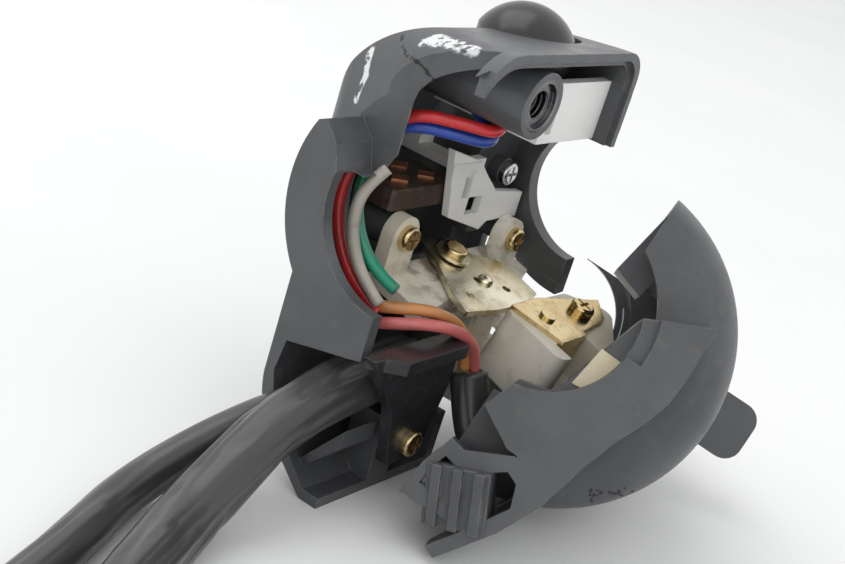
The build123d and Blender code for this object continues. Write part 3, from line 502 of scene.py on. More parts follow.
class Paint:
    """Builds each finish once and gives it to CAD nodes and pieces."""

    def __init__(self) -> None:
        """Start with no material built."""
        self.built: dict[str, bpy.types.Material] = {}

    def material(self, finish: str) -> bpy.types.Material:
        """Build a finish's material on first use.

        Args:
            finish: Name of the finish.

        Returns:
            The material.
        """
        if finish not in self.built:
            self.built[finish] = FINISHES[finish].build()
        return self.built[finish]

    def cad_nodes(self, special: dict[str, str]) -> None:
        """Dress every CAD node in the finish of its slot.

        Args:
            special: Nodes that take a finish of their own within the slot.
        """
        slots = {part["node"]: part["material_slot"] for part in frame["record"]["subparts"]}
        for name, node in frame["nodes"].items():
            finish = special.get(name, slots[name])
            node.data.materials.clear()
            node.data.materials.append(self.material(finish))
            for face in node.data.polygons:
                face.material_index = 0
            log.info("dressed %s in %s", name, finish)


@contextmanager
def edited(mesh: bpy.types.Mesh) -> Iterator[bmesh.types.BMesh]:
    """Open a mesh for editing and write it back at the end.

    Args:
        mesh: The mesh.

    Yields:
        Its editable form.
    """
    shape = bmesh.new()
    shape.from_mesh(mesh)
    yield shape
    shape.to_mesh(mesh)
    shape.free()


def merged(shape: bmesh.types.BMesh) -> None:
    """Merge the points of a mesh that lie in one place."""
    bmesh.ops.remove_doubles(shape, verts=shape.verts, dist=MERGE_REACH)


def mesh_piece(
    name: str, points: list[Point], faces: Faces, material: bpy.types.Material
) -> bpy.types.Object:
    """Make a smooth mesh object at the origin from points in the part's frame.

    Args:
        name: Name of the piece.
        points: Vertex places in metres.
        faces: Vertex numbers of each face.
        material: The piece's only material.

    Returns:
        The linked object.
    """
    mesh = bpy.data.meshes.new(name)
    mesh.from_pydata(points, [], faces)
    with edited(mesh) as shape:
        merged(shape)
        bmesh.ops.recalc_face_normals(shape, faces=shape.faces)
    mesh.materials.append(material)
    mesh.shade_smooth()
    piece = bpy.data.objects.new(name, mesh)
    bpy.context.scene.collection.objects.link(piece)
    return piece


def settle(piece: bpy.types.Object, body: Body, slot: str, *nodes: str) -> None:
    """Tie a finished piece to its body and hide the CAD nodes that it stands for.

    Args:
        piece: The piece, at the origin.
        body: Body that it rides on.
        slot: Material slot of the record; not used.
        *nodes: CAD nodes that it stands for.
    """
    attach(piece, body.value)
    if nodes:
        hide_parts(*nodes)
    log.info("made %s on %s with %d faces", piece.name, body.value, len(piece.data.polygons))


def spline_path(route: Sequence[Point], step: float) -> list[Vector]:
    """Points of the quadratic spline through a route's control points.

    Args:
        route: Control points in metres.
        step: Wanted distance between two points.

    Returns:
        The points, from the first control point to the last.
    """
    control = [Vector(point) for point in route]
    joints = [control[0]]
    joints += [(a + b) / 2 for a, b in zip(control[1:-2], control[2:-1])]
    joints.append(control[-1])
    path = [control[0]]
    for first, middle, last in zip(joints, control[1:-1], joints[1:]):
        count = max(2, math.ceil((last - first).length / step))
        for index in range(1, count + 1):
            share = index / count
            bend = first.lerp(middle, share).lerp(middle.lerp(last, share), share)
            path.append(bend)
    return path


def frames_along(path: Sequence[Vector]) -> list[tuple[Vector, Vector]]:
    """Two directions across a path at each of its points, without twist.

    Args:
        path: The points.

    Returns:
        Both directions at each point.
    """
    frames = []
    across = Vector((0.0, 0.0, 1.0))
    for index, point in enumerate(path):
        before = path[max(index - 1, 0)]
        after = path[min(index + 1, len(path) - 1)]
        along = (after - before).normalized()
        side = along.cross(across).normalized()
        across = side.cross(along).normalized()
        frames.append((side, across))
    return frames


def tube_faces(rows: int, sides: int) -> Faces:
    """Faces of a closed tube whose rings of vertices follow each other.

    Args:
        rows: Number of rings.
        sides: Vertices in each ring.

    Returns:
        The sides and both ends.
    """
    faces: Faces = []
    for row in range(rows - 1):
        low, high = row * sides, (row + 1) * sides
        for number in range(sides):
            after = (number + 1) % sides
            faces.append((low + number, low + after, high + after, high + number))
    faces.append(tuple(range(sides)))
    faces.append(tuple(range((rows - 1) * sides, rows * sides)))
    return faces


def tube_piece(
    name: str,
    path: Sequence[Vector],
    sides: int,
    reach: Callable[[int, float], float],
    material: bpy.types.Material,
) -> bpy.types.Object:
    """Make a closed tube round a path.

    Args:
        name: Name of the piece.
        path: Points of its middle line.
        sides: Vertices in each ring.
        reach: Radius at a point's number along the path and a turn round it.
        material: The piece's only material.

    Returns:
        The linked object, not yet tied to a body.
    """
    points: list[Point] = []
    for index, (centre, (side, across)) in enumerate(zip(path, frames_along(path))):
        for number in range(sides):
            turn = 2 * math.pi * number / sides
            out = side * math.cos(turn) + across * math.sin(turn)
            points.append(tuple(centre + out * reach(index, turn)))
    return mesh_piece(name, points, tube_faces(len(path), sides), material)


@dataclass
class Sleeve:
    """Soft vinyl sleeve over a bundle of wires, with creases pressed into it.

    Args:
        name: Name of the CAD node that the sleeve stands for.
        route: Control points of its middle line in metres.
        diameter: Outer diameter.
        crease: Depth of the creases, as a share of the radius.
        seed: Place in the noise, so that each sleeve creases its own way.
        sides: Vertices round it.
        step: Distance between two rings.
    """

    name: str
    route: Sequence[Point]
    diameter: float
    crease: float = 0.16
    seed: float = 0.0
    sides: int = 48
    step: float = 0.0006

    def radius(self, along: float, turn: float) -> float:
        """Radius at a place along the sleeve and a turn round it.

        Args:
            along: Distance from the sleeve's start in metres.
            turn: Turn round it in radians.

        Returns:
            The radius, less where a long fold or a short one presses in.
        """
        round_x, round_y = math.cos(turn), math.sin(turn)
        slow = Vector((round_x * 0.8, round_y * 0.8, along * 14.0 + self.seed))
        quick = Vector((round_x * 1.4 + self.seed, round_y * 1.4, along * 46.0))
        fold = max(1.0 - abs(noise.noise(slow)) * 3.4, 0.0) ** 2
        small = max(1.0 - abs(noise.noise(quick)) * 4.5, 0.0) ** 2
        press = min(fold + 0.3 * small, 1.0)
        return self.diameter / 2 * (1.0 - self.crease * press)

    def build(self, paint: Paint) -> bpy.types.Object:
        """Make the tube along its route.

        Args:
            paint: Gives the vinyl.

        Returns:
            The sleeve, not yet tied to a body.
        """
        path = spline_path(self.route, self.step)
        travelled = [0.0]
        for before, after in zip(path, path[1:]):
            travelled.append(travelled[-1] + (after - before).length)
        return tube_piece(
            f"{self.name}_vinyl", path, self.sides,
            lambda index, turn: self.radius(travelled[index], turn),
            paint.material("sleeve_vinyl"),
        )


@dataclass
class Wire:
    """One insulated wire, as a round tube along a route of its own.

    Args:
        node: CAD node that the wire stands for.
        slot: Material slot of that node.
        route: Control points of its middle line in metres.
        diameter: Outer diameter of the insulation.
        sides: Vertices round it.
        step: Distance between two rings.
    """

    node: str
    slot: str
    route: Sequence[Point]
    diameter: float = 0.0018
    sides: int = 16
    step: float = 0.0004

    def build(self, paint: Paint) -> None:
        """Make the wire and put it in the CAD wire's place.

        Args:
            paint: Gives the insulation.
        """
        piece = tube_piece(
            f"{self.node}_lead", spline_path(self.route, self.step), self.sides,
            lambda index, turn: self.diameter / 2, paint.material(self.slot),
        )
        settle(piece, Body.HOUSING, self.slot, self.node)


@dataclass
class InnerWires:
    """Wires that show inside the collar and under the screw boss.

    Args:
        collar_turns: Turns about the bar, in degrees, at which the collar's wires are led.
        collar_places: Places along the bar at those turns.
        collar_wires: Node, radius above and below, and shift along the bar of each.
        orange_route: Upper wire into the short sleeve.
        pink_route: Lower wire into it.
        upper_route: Middle line of the wires under the boss.
        upper_wires: Node, slot and shift from that line of each.
    """

    collar_turns: tuple[float, ...] = (158.0, 174.0, 193.0, 214.0, 236.0, 254.0)
    collar_places: tuple[float, ...] = (0.044, 0.0458, 0.0464, 0.0464, 0.0462, 0.0458)
    orange_route: tuple[Point, ...] = (
        (0.0435, -0.0105, -0.0165), (0.0455, -0.0066, -0.0152), (0.0447, -0.003, -0.0142),
        (0.041, -0.0004, -0.0138), (0.0372, 0.0014, -0.0146), (0.0336, 0.0024, -0.0166),
        (0.0312, 0.003, -0.0196), (0.0304, 0.0034, -0.0236),
    )
    pink_route: tuple[Point, ...] = (
        (0.0435, -0.0085, -0.0186), (0.0457, -0.0046, -0.0172), (0.0448, -0.0012, -0.0158),
        (0.0412, 0.0016, -0.0152), (0.0373, 0.0034, -0.0158), (0.0334, 0.0043, -0.0176),
        (0.0304, 0.0044, -0.0204), (0.0286, 0.0042, -0.0236),
    )
    upper_route: tuple[Point, ...] = (
        (0.042, -0.0145, 0.003), (0.0422, -0.0134, 0.0098), (0.0414, -0.0095, 0.0124),
        (0.0372, -0.0042, 0.0125), (0.0336, -0.0016, 0.0122), (0.0302, -0.0032, 0.0132),
        (0.0292, -0.0078, 0.0145),
    )
    collar_wires: tuple[tuple[str, float, float, float], ...] = (
        ("red_wire", 0.0162, 0.0162, 0.0),
        ("green_wire", 0.0146, 0.012, -0.001),
        ("grey_wire", 0.011, 0.0144, 0.001),
    )
    upper_wires: tuple[tuple[str, str, Point], ...] = (
        ("crimson_wire", "red_wire", (0.0, 0.0, 0.0)),
        ("amber_wire", "orange_wire", (-0.0019, -0.0015, -0.0006)),
        ("blue_wire", "blue_wire", (-0.0008, -0.0012, -0.0021)),
    )

    def collar_route(self, upper: float, lower: float, shift: float) -> list[Point]:
        """Route round the collar's inside.

        Args:
            upper: Radius about the bar at the upper end.
            lower: Radius at the lower end.
            shift: Distance that the whole route is moved along the bar.

        Returns:
            The control points, from the upper end.
        """
        route = []
        last = len(self.collar_turns) - 1
        for index, (turn, x) in enumerate(zip(self.collar_turns, self.collar_places)):
            reach = upper + (lower - upper) * index / last
            angle = math.radians(turn)
            route.append((x + shift, reach * math.cos(angle), reach * math.sin(angle)))
        return route

    def build(self, paint: Paint) -> None:
        """Make the collar's wires, the boss's wires and the two into the short sleeve.

        Args:
            paint: Gives the insulation.
        """
        for node, upper, lower, shift in self.collar_wires:
            Wire(node, node, self.collar_route(upper, lower, shift)).build(paint)
        for node, slot, shift in self.upper_wires:
            route = [tuple(a + b for a, b in zip(point, shift)) for point in self.upper_route]
            Wire(node, slot, route).build(paint)
        Wire("orange_wire", "orange_wire", self.orange_route).build(paint)
        Wire("pink_wire", "pink_wire", self.pink_route).build(paint)


@dataclass
class Harness:
    """Two long sleeves that lie on the floor in a loose turn, and the short link sleeve.

    Args:
        main_route: Control points of the main sleeve's middle line.
        side_route: The same for the side sleeve.
        link_route: The same for the short sleeve between the halves.
        main_diameter: Outer diameter of the main sleeve.
        side_diameter: Outer diameter of the other two.
        main_length: Length of the main sleeve to its connector; not used.
        side_length: Length of the side sleeve to its connector; not used.
    """

    main_route: tuple[Point, ...] = (
        (0.0352, -0.0038, -0.0251), (0.057, -0.0038, -0.0251), (0.0765, -0.004, -0.0391),
        (0.097, 0.005, -0.0391), (0.122, 0.014, -0.0391), (0.141, 0.034, -0.0391),
        (0.143, 0.06, -0.0391), (0.124, 0.08, -0.0391), (0.097, 0.082, -0.0391),
        (0.077, 0.066, -0.0391), (0.076, 0.044, -0.0391),
    )
    side_route: tuple[Point, ...] = (
        (0.0352, -0.0088, -0.0306), (0.057, -0.0088, -0.0306), (0.076, -0.0145, -0.0404),
        (0.097, -0.006, -0.0404), (0.126, 0.003, -0.0404), (0.15, 0.026, -0.0404),
        (0.154, 0.06, -0.0404), (0.133, 0.088, -0.0404), (0.102, 0.094, -0.0404),
        (0.074, 0.086, -0.0404),
    )
    link_route: tuple[Point, ...] = (
        (0.0292, 0.0038, -0.0244), (0.0296, 0.0062, -0.03),
        (0.0316, 0.0104, -0.034), (0.0356, 0.0146, -0.035),
    )
    main_diameter: float = 0.0086
    side_diameter: float = 0.006
    main_length: float = 0.243
    side_length: float = 0.2536

    def build(self, paint: Paint) -> None:
        """Args:
            paint: Gives the vinyl.
        """
        runs = (
            ("main", self.main_route, self.main_diameter, self.main_length, 0.0),
            ("side", self.side_route, self.side_diameter, self.side_length, 7.3),
        )
        for kind, route, diameter, length, seed in runs:
            sleeve = Sleeve(f"{kind}_sleeve", route, diameter, seed=seed).build(paint)
            settle(sleeve, Body.HOUSING, "sleeve_vinyl", f"{kind}_sleeve")
            path = [tuple(point) for point in spline_path(route, MM)]
        link = Sleeve(
            "link_sleeve", self.link_route, self.side_diameter, crease=0.14, seed=3.1, step=0.0003
        )
        settle(link.build(paint), Body.HOUSING, "sleeve_vinyl", "link_sleeve")


def open_group(
    name: str, inputs: Sequence[tuple[str, str]]
) -> tuple[Tree, bpy.types.Node]:
    """Start a Geometry Nodes group with named inputs and one geometry output.

    Args:
        name: Name of the group.
        inputs: Name and kind of each input.

    Returns:
        The tree to fill, and the node that gives its inputs.
    """
    group = bpy.data.node_groups.new(name, "GeometryNodeTree")
    for label, kind in inputs:
        group.interface.new_socket(label, in_out="INPUT", socket_type=f"NodeSocket{kind}")
    group.interface.new_socket("Geometry", in_out="OUTPUT", socket_type="NodeSocketGeometry")
    tree = Tree(group)
    return tree, tree.add("NodeGroupInput")


def close_group(
    tree: Tree, values: dict[str, object], material: bpy.types.NodeSocket
) -> bpy.types.NodeTree:
    """End a group: place one shape on many points, make the copies real and dress them.

    Args:
        tree: The group's tree.
        values: Points, Instance, Rotation and perhaps Scale of the copies.
        material: The group's input for the material.

    Returns:
        The finished group.
    """
    placed = tree.add("GeometryNodeInstanceOnPoints", values)
    real = tree.add("GeometryNodeRealizeInstances", {0: placed.outputs[0]})
    values = {"Geometry": real.outputs[0], "Material": material}
    dressed = tree.add("GeometryNodeSetMaterial", values)
    tree.add("NodeGroupOutput", {0: dressed.outputs[0]})
    return tree.tree


@dataclass
class RingRow:
    """A straight row of equal rings, made with Geometry Nodes.

    Args:
        name: Name of the piece.
        start: Centre of the first ring.
        step: From one centre to the next.
        count: How many there are.
        radius: Radius of a ring's middle line.
        thick: Radius of its wire.
        turn: Turn of each one, as Euler angles.
        ring_sides: Points round a ring.
        wire_sides: Points round its wire.
    """

    name: str
    start: Point
    step: Point
    count: int
    radius: float
    thick: float
    turn: Point
    ring_sides: int = 40
    wire_sides: int = 8

    def tree(self) -> bpy.types.NodeTree:
        """Build the Geometry Nodes tree, with its sizes as named inputs.

        Returns:
            The group.
        """
        tree, given = open_group(self.name, (
            ("Start", "Vector"), ("Step", "Vector"), ("Count", "Int"),
            ("Radius", "Float"), ("Thick", "Float"), ("Turn", "Vector"), ("Material", "Material"),
        ))
        size = given.outputs
        line = tree.add("GeometryNodeMeshLine", {
            "Count": size["Count"], "Start Location": size["Start"], "Offset": size["Step"],
        })
        values = {"Radius": size["Radius"], "Resolution": self.ring_sides}
        circle = tree.add("GeometryNodeCurvePrimitiveCircle", values).outputs[0]
        values = {"Radius": size["Thick"], "Resolution": self.wire_sides}
        section = tree.add("GeometryNodeCurvePrimitiveCircle", values).outputs[0]
        values = {"Curve": circle, "Profile Curve": section}
        ring = tree.add("GeometryNodeCurveToMesh", values).outputs[0]
        rotation = tree.add("FunctionNodeEulerToRotation", {0: size["Turn"]}).outputs[0]
        values = {"Points": line.outputs[0], "Instance": ring, "Rotation": rotation}
        return close_group(tree, values, size["Material"])

    def build(self, material: bpy.types.Material) -> bpy.types.Object:
        """Run the tree and keep its result as a plain mesh.

        Args:
            material: The piece's material.

        Returns:
            The plain piece.
        """
        values = {
            "Start": self.start, "Step": self.step, "Count": self.count, "Radius": self.radius,
            "Thick": self.thick, "Turn": self.turn, "Material": material,
        }
        return grown(self.name, self.tree(), values, bpy.data.meshes.new(self.name), material)


def grown(
    name: str,
    group: bpy.types.NodeTree,
    values: dict[str, object],
    base: bpy.types.Mesh,
    material: bpy.types.Material,
) -> bpy.types.Object:
    """Run a Geometry Nodes tree on a mesh and return the result as a plain object.

    Args:
        name: Name of the piece.
        group: The tree.
        values: Value of each named input.
        base: Mesh that the modifier stands on.
        material: The piece's material.

    Returns:
        The plain piece, linked to the scene.
    """
    carrier = bpy.data.objects.new(f"{name}_carrier", base)
    bpy.context.scene.collection.objects.link(carrier)
    modifier = carrier.modifiers.new(name, "NODES")
    modifier.node_group = group
    sockets = {item.name: item.identifier for item in group.interface.items_tree}
    for label, value in values.items():
        modifier[sockets[label]] = value
    ready = carrier.evaluated_get(bpy.context.evaluated_depsgraph_get())
    mesh = bpy.data.meshes.new_from_object(ready)
    mesh.name = name
    if not mesh.materials:
        mesh.materials.append(material)
    mesh.shade_smooth()
    bpy.data.objects.remove(carrier)
    piece = bpy.data.objects.new(name, mesh)
    bpy.context.scene.collection.objects.link(piece)
    return piece


@dataclass
class CaseScrewInsert:
    """Thread turns inside the steel insert of the case screw's boss.

    Args:
        bore: Radius of the insert's hole.
        pitch: Distance between two turns.
        depth: Depth that the turns reach.
        wire: Radius of a turn's section.
        inset: Distance of the first turn from the mouth.
        sunk: Part of the section that is sunk in the wall.
    """

    bore: float = 0.0021
    pitch: float = 0.0008
    depth: float = 0.0104
    wire: float = 0.00022
    inset: float = 0.0009
    sunk: float = 0.2

    def build(self, paint: Paint) -> None:
        """Stack the thread's turns down the bore.

        Args:
            paint: Gives the steel.
        """
        low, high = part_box("screw_insert")
        middle = (low + high) / 2
        count = int(self.depth / self.pitch)
        row = RingRow(
            "insert_thread", start=(middle.x, high.y - self.inset, middle.z),
            step=(0.0, -self.pitch, 0.0), count=count, radius=self.bore + self.wire * self.sunk,
            thick=self.wire, turn=(math.pi / 2, 0.0, 0.0),
        )
        settle(row.build(paint.material("dark_steel")), Body.HOUSING, "zinc_steel")


@dataclass
class Crumbs:
    """Crumbs of broken plastic scattered on a shell, with Geometry Nodes.

    Args:
        name: Name of the piece.
        node: CAD node that they lie on.
        centre: Middle of the spot.
        reach: Radius of the spot.
        density: Crumbs per square metre.
        size: Radius of the largest crumb.
        seed: Seed of the scatter.
        turns: Largest turn of a crumb about each axis, in radians.
        least: Smallest share of its size along each axis.
        most: Largest share of its size along each axis.
    """

    name: str
    node: str
    centre: Point
    reach: float
    density: float
    size: float
    seed: int
    turns: Point = (6.0, 6.0, 6.0)
    least: Point = (0.2, 0.3, 0.2)
    most: Point = (1.0, 0.8, 0.6)

    def tree(self) -> bpy.types.NodeTree:
        """Build the scatter tree, with its sizes as named inputs.

        Returns:
            The group.
        """
        tree, given = open_group(self.name, (
            ("Shell", "Geometry"), ("Centre", "Vector"), ("Reach", "Float"),
            ("Density", "Float"), ("Size", "Float"), ("Seed", "Int"), ("Material", "Material"),
        ))
        size = given.outputs
        place = tree.add("GeometryNodeInputPosition").outputs[0]
        away = tree.vector("DISTANCE", place, size["Centre"])
        near = tree.math("LESS_THAN", away, size["Reach"])
        points = tree.add("GeometryNodeDistributePointsOnFaces", {
            "Mesh": size["Shell"], "Selection": near,
            "Density": size["Density"], "Seed": size["Seed"],
        }).outputs["Points"]
        values = {"Radius": size["Size"], "Subdivisions": 1}
        grain = tree.add("GeometryNodeMeshIcoSphere", values).outputs[0]
        kind, values = "FunctionNodeRandomValue", {1: self.turns, "Seed": size["Seed"]}
        turn = tree.add(kind, values, data_type="FLOAT_VECTOR").outputs[0]
        values = {0: self.least, 1: self.most}
        scale = tree.add(kind, values, data_type="FLOAT_VECTOR").outputs[0]
        rotation = tree.add("FunctionNodeEulerToRotation", {0: turn}).outputs[0]
        values = {"Points": points, "Instance": grain, "Rotation": rotation, "Scale": scale}
        return close_group(tree, values, size["Material"])

    def build(self, paint: Paint) -> None:
        """Scatter the crumbs on a merged copy of the shell.

        Args:
            paint: Gives the broken plastic.
        """
        base = frame["nodes"][self.node].data.copy()
        with edited(base) as shape:
            merged(shape)
        material = paint.material("glossy_plastic")
        values = {
            "Centre": self.centre, "Reach": self.reach, "Density": self.density,
            "Size": self.size, "Seed": self.seed, "Material": material,
        }
        piece = grown(self.name, self.tree(), values, base, material)
        settle(piece, Body.HOUSING, "black_plastic")


RIVET_PROFILE: Profile = (
    (0.0013, -0.0003), (0.0013, 0.0002), (0.00118, 0.00048), (0.00085, 0.00074),
    (0.00042, 0.00088), (0.0001, 0.0009),
)
EYELET_PROFILE: Profile = (
    (0.00125, -0.0003), (0.00125, 0.0001), (0.00112, 0.00026), (0.0009, 0.00032),
    (0.00072, 0.00022), (0.00064, 0.00004), (0.0006, -0.0002),
)


@dataclass
class Stud:
    """Small turned detail on the swinging steel plate, which follows its tilt.

    Args:
        name: Name of the piece.
        place: Middle of its foot on the plate.
        profile: Radius and height of each ring, from the foot to the inside.
        tilt: Turn of the plate about X in degrees.
        sides: Vertices in each ring.
    """

    name: str
    place: Point
    profile: Profile
    tilt: float = -14.0
    sides: int = 28

    def build(self, paint: Paint) -> None:
        """Turn the profile round the plate's normal.

        Args:
            paint: Gives the plate's steel.
        """
        turn = Matrix.Rotation(math.radians(self.tilt), 3, "X")
        centre = Vector(self.place)
        points: list[Point] = []
        for radius, height in self.profile:
            for number in range(self.sides):
                angle = 2 * math.pi * number / self.sides
                ring = Vector((radius * math.cos(angle), radius * math.sin(angle), height))
                points.append(tuple(centre + turn @ ring))
        faces = tube_faces(len(self.profile), self.sides)
        piece = mesh_piece(self.name, points, faces, paint.material("zinc_steel"))
        settle(piece, Body.TURN_SWITCH, "zinc_steel")


@dataclass
class HornSpring:
    """Return spring of the horn button, made at one length.

    Args:
        centre: Its axis, across the bar.
        low: Height of the lowest middle line.
        high: Height of the highest.
        coil: Radius of the coil.
        wire: Radius of the wire.
        turns: Number of turns.
        stroke: Distance that the button goes in; not used.
        steps: Rings of vertices in each turn.
        sides: Vertices in each ring.
    """

    centre: tuple[float, float] = (0.0203, -0.0093)
    low: float = 0.0139
    high: float = 0.02237
    coil: float = 0.0036
    wire: float = 0.0006
    turns: float = 5.0
    stroke: float = 0.0022
    steps: int = 48
    sides: int = 14

    def build(self, paint: Paint) -> None:
        """Make the spring in place of the CAD one.

        Args:
            paint: Gives the steel.
        """
        middle_x, middle_y = self.centre
        count = int(self.turns * self.steps)
        path = []
        for index in range(count + 1):
            angle = 2 * math.pi * index / self.steps
            height = self.low + (self.high - self.low) * index / count
            x, y = self.coil * math.cos(angle), self.coil * math.sin(angle)
            path.append(Vector((middle_x + x, middle_y + y, height)))
        piece = tube_piece(
            "horn_coil", path, self.sides, lambda index, turn: self.wire,
            paint.material("zinc_steel"),
        )
        settle(piece, Body.HOUSING, "zinc_steel", "horn_spring")
        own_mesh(piece)


@dataclass
class ClipBlock:
    """Ribbed cable rest in the window of the front half's clip.

    Args:
        corner: Upper near corner of its face.
        along: Direction and length along the clip.
        down: Direction and length down the clip.
        deep: Direction and depth into the window.
        ribs: Number of ribs.
        rib_margin: Distance of a rib from its field's start, as a share of the field.
        rib_share: Width of a rib, as a share of its field.
        rib_height: How far a rib stands out.
        rounding: Width of the rounded edges.
    """

    corner: Point = (0.0482, 0.0118, -0.0302)
    along: Point = (-0.003, 0.0085, 0.0016)
    down: Point = (0.0008, 0.0024, -0.0085)
    deep: Point = (-0.0062, -0.0021, -0.0012)
    ribs: int = 3
    rib_margin: float = 0.25
    rib_share: float = 0.5
    rib_height: float = 0.0009
    rounding: float = 0.00028

    def build(self, paint: Paint) -> None:
        """Make the rest and the ribs across its face.

        Args:
            paint: Gives the plastic.
        """
        corner, along = Vector(self.corner), Vector(self.along)
        down, deep = Vector(self.down), Vector(self.deep)
        points: list[Point] = []
        faces: Faces = []
        self.slab(points, faces, corner, along, down, deep)
        out = -deep.normalized() * self.rib_height
        for index in range(self.ribs):
            place = corner + along * ((index + self.rib_margin) / self.ribs)
            wide = along * (self.rib_share / self.ribs)
            self.slab(points, faces, place + out, wide, down, -out * 2)
        piece = mesh_piece("clip_rest", points, faces, paint.material("black_plastic"))
        with edited(piece.data) as shape:
            bmesh.ops.bevel(
                shape, geom=shape.edges[:], offset=self.rounding, segments=3, profile=0.6,
                affect="EDGES", clamp_overlap=True,
            )
        piece.data.shade_flat()
        settle(piece, Body.HOUSING, "black_plastic")

    @staticmethod
    def slab(
        points: list[Point], faces: Faces,
        corner: Vector, along: Vector, down: Vector, deep: Vector,
    ) -> None:
        """Add one closed slanted block to a mesh in the making.

        Args:
            points: The mesh's points, which grow by eight.
            faces: Its faces, which grow by six.
            corner: One corner of the block.
            along: First side.
            down: Second side.
            deep: Third side.
        """
        first = len(points)
        for far in (0, 1):
            for a, b in ((0, 0), (1, 0), (1, 1), (0, 1)):
                points.append(tuple(corner + along * a + down * b + deep * far))
        ends = ((3, 2, 1, 0), (4, 5, 6, 7))
        sides = ((0, 1, 5, 4), (1, 2, 6, 5), (2, 3, 7, 6), (3, 0, 4, 7))
        for face in ends + sides:
            faces.append(tuple(first + index for index in face))


@dataclass
class ThumbKnob:
    """Thumb knob on the rear face, with a ribbed ridge.

    Args:
        node: CAD node that the knob stands for.
        body: Body that it rides on.
        ribs: Number of grooves across the ridge.
        base_share: Height of the plate under the ridge, as a share of the knob's.
        ridge: Width and height of the ridge, as shares of the knob's.
        rounding: Width of the rounded edges.
        groove: Depth of the grooves.
        groove_rate: Grooves across the knob for each rib.
        groove_top: Share of the height above which there are grooves.
        groove_reach: Half width of the grooved part, as a share of the knob's width.
        columns: Grid cells across the knob.
        rows: Grid cells up it.
    """

    node: str
    body: Body
    ribs: int
    base_share: float = 0.44
    ridge: tuple[float, float] = (0.52, 0.8)
    rounding: float = 0.0007
    groove: float = 0.00035
    groove_rate: float = 1.9
    groove_top: float = 0.93
    groove_reach: float = 0.2
    columns: int = 110
    rows: int = 48

    def soft(self, place: float, size: float, share: float) -> float:
        """Height of a rounded block at a place across it.

        Args:
            place: Distance from the middle.
            size: Width of the knob.
            share: Width of the block, as a share of the knob's.

        Returns:
            1 on the block, falling to 0 over the rounding at its edge.
        """
        inside = size * share / 2 - abs(place)
        if inside >= self.rounding:
            return 1.0
        if inside <= 0:
            return 0.0
        left = 1.0 - inside / self.rounding
        return math.sqrt(max(0.0, 1.0 - left * left))

    def height(self, across: float, up: float, wide: float, tall: float) -> float:
        """How far the knob stands out at a place on it.

        Args:
            across: Distance from the middle, along the bar.
            up: Distance from the middle, upwards.
            wide: Width of the knob.
            tall: Its height.

        Returns:
            A share from 0 to 1.
        """
        wide_share, tall_share = self.ridge
        plate = self.soft(across, wide, 1.0) * self.soft(up, tall, 1.0)
        ridge = self.soft(across, wide, wide_share) * self.soft(up, tall, tall_share)
        return self.base_share * plate + (1.0 - self.base_share) * ridge

    def depth(self, across: float, wide: float, stand: float) -> float:
        """Depth of the grooves at a place across the knob.

        Args:
            across: Distance from the middle, along the bar.
            wide: Width of the knob.
            stand: How far the knob stands out there, as a share from 0 to 1.

        Returns:
            The depth in metres.
        """
        if stand <= self.groove_top or abs(across) >= wide * self.groove_reach:
            return 0.0
        angle = 2 * math.pi * self.ribs * (across / wide + 0.5) * self.groove_rate
        return self.groove * (0.5 - 0.5 * math.cos(angle))

    def rim(self) -> list[int]:
        """Vertex numbers round the edge of the grid, in order.

        Returns:
            The numbers.
        """
        width = self.columns + 1
        rim = list(range(width))
        rim += [row * width + self.columns for row in range(1, self.rows + 1)]
        rim += [self.rows * width + column for column in range(self.columns - 1, -1, -1)]
        rim += [row * width for row in range(self.rows - 1, 0, -1)]
        return rim

    def build(self, paint: Paint) -> None:
        """Make the knob as one closed shape within its CAD node's box.

        Args:
            paint: Gives the plastic.
        """
        low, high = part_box(self.node)
        size, middle = high - low, (low + high) / 2
        points: list[Point] = []
        for row in range(self.rows + 1):
            for column in range(self.columns + 1):
                across = (column / self.columns - 0.5) * size.x
                up = (row / self.rows - 0.5) * size.z
                stand = self.height(across, up, size.x, size.z)
                y = high.y - stand * size.y + self.depth(across, size.x, stand)
                points.append((middle.x + across, y, middle.z + up))
        faces: Faces = []
        width = self.columns + 1
        for row in range(self.rows):
            for column in range(self.columns):
                corner = row * width + column
                faces.append((corner, corner + 1, corner + width + 1, corner + width))
        back = len(points)
        points += [(x, high.y, z) for x, _, z in points]
        faces += [tuple(back + index for index in reversed(face)) for face in faces]
        rim = self.rim()
        for first, second in zip(rim, rim[1:] + rim[:1]):
            faces.append((first, back + first, back + second, second))
        piece = mesh_piece(f"{self.node}_grip", points, faces, paint.material("black_plastic"))
        settle(piece, self.body, "black_plastic", self.node)


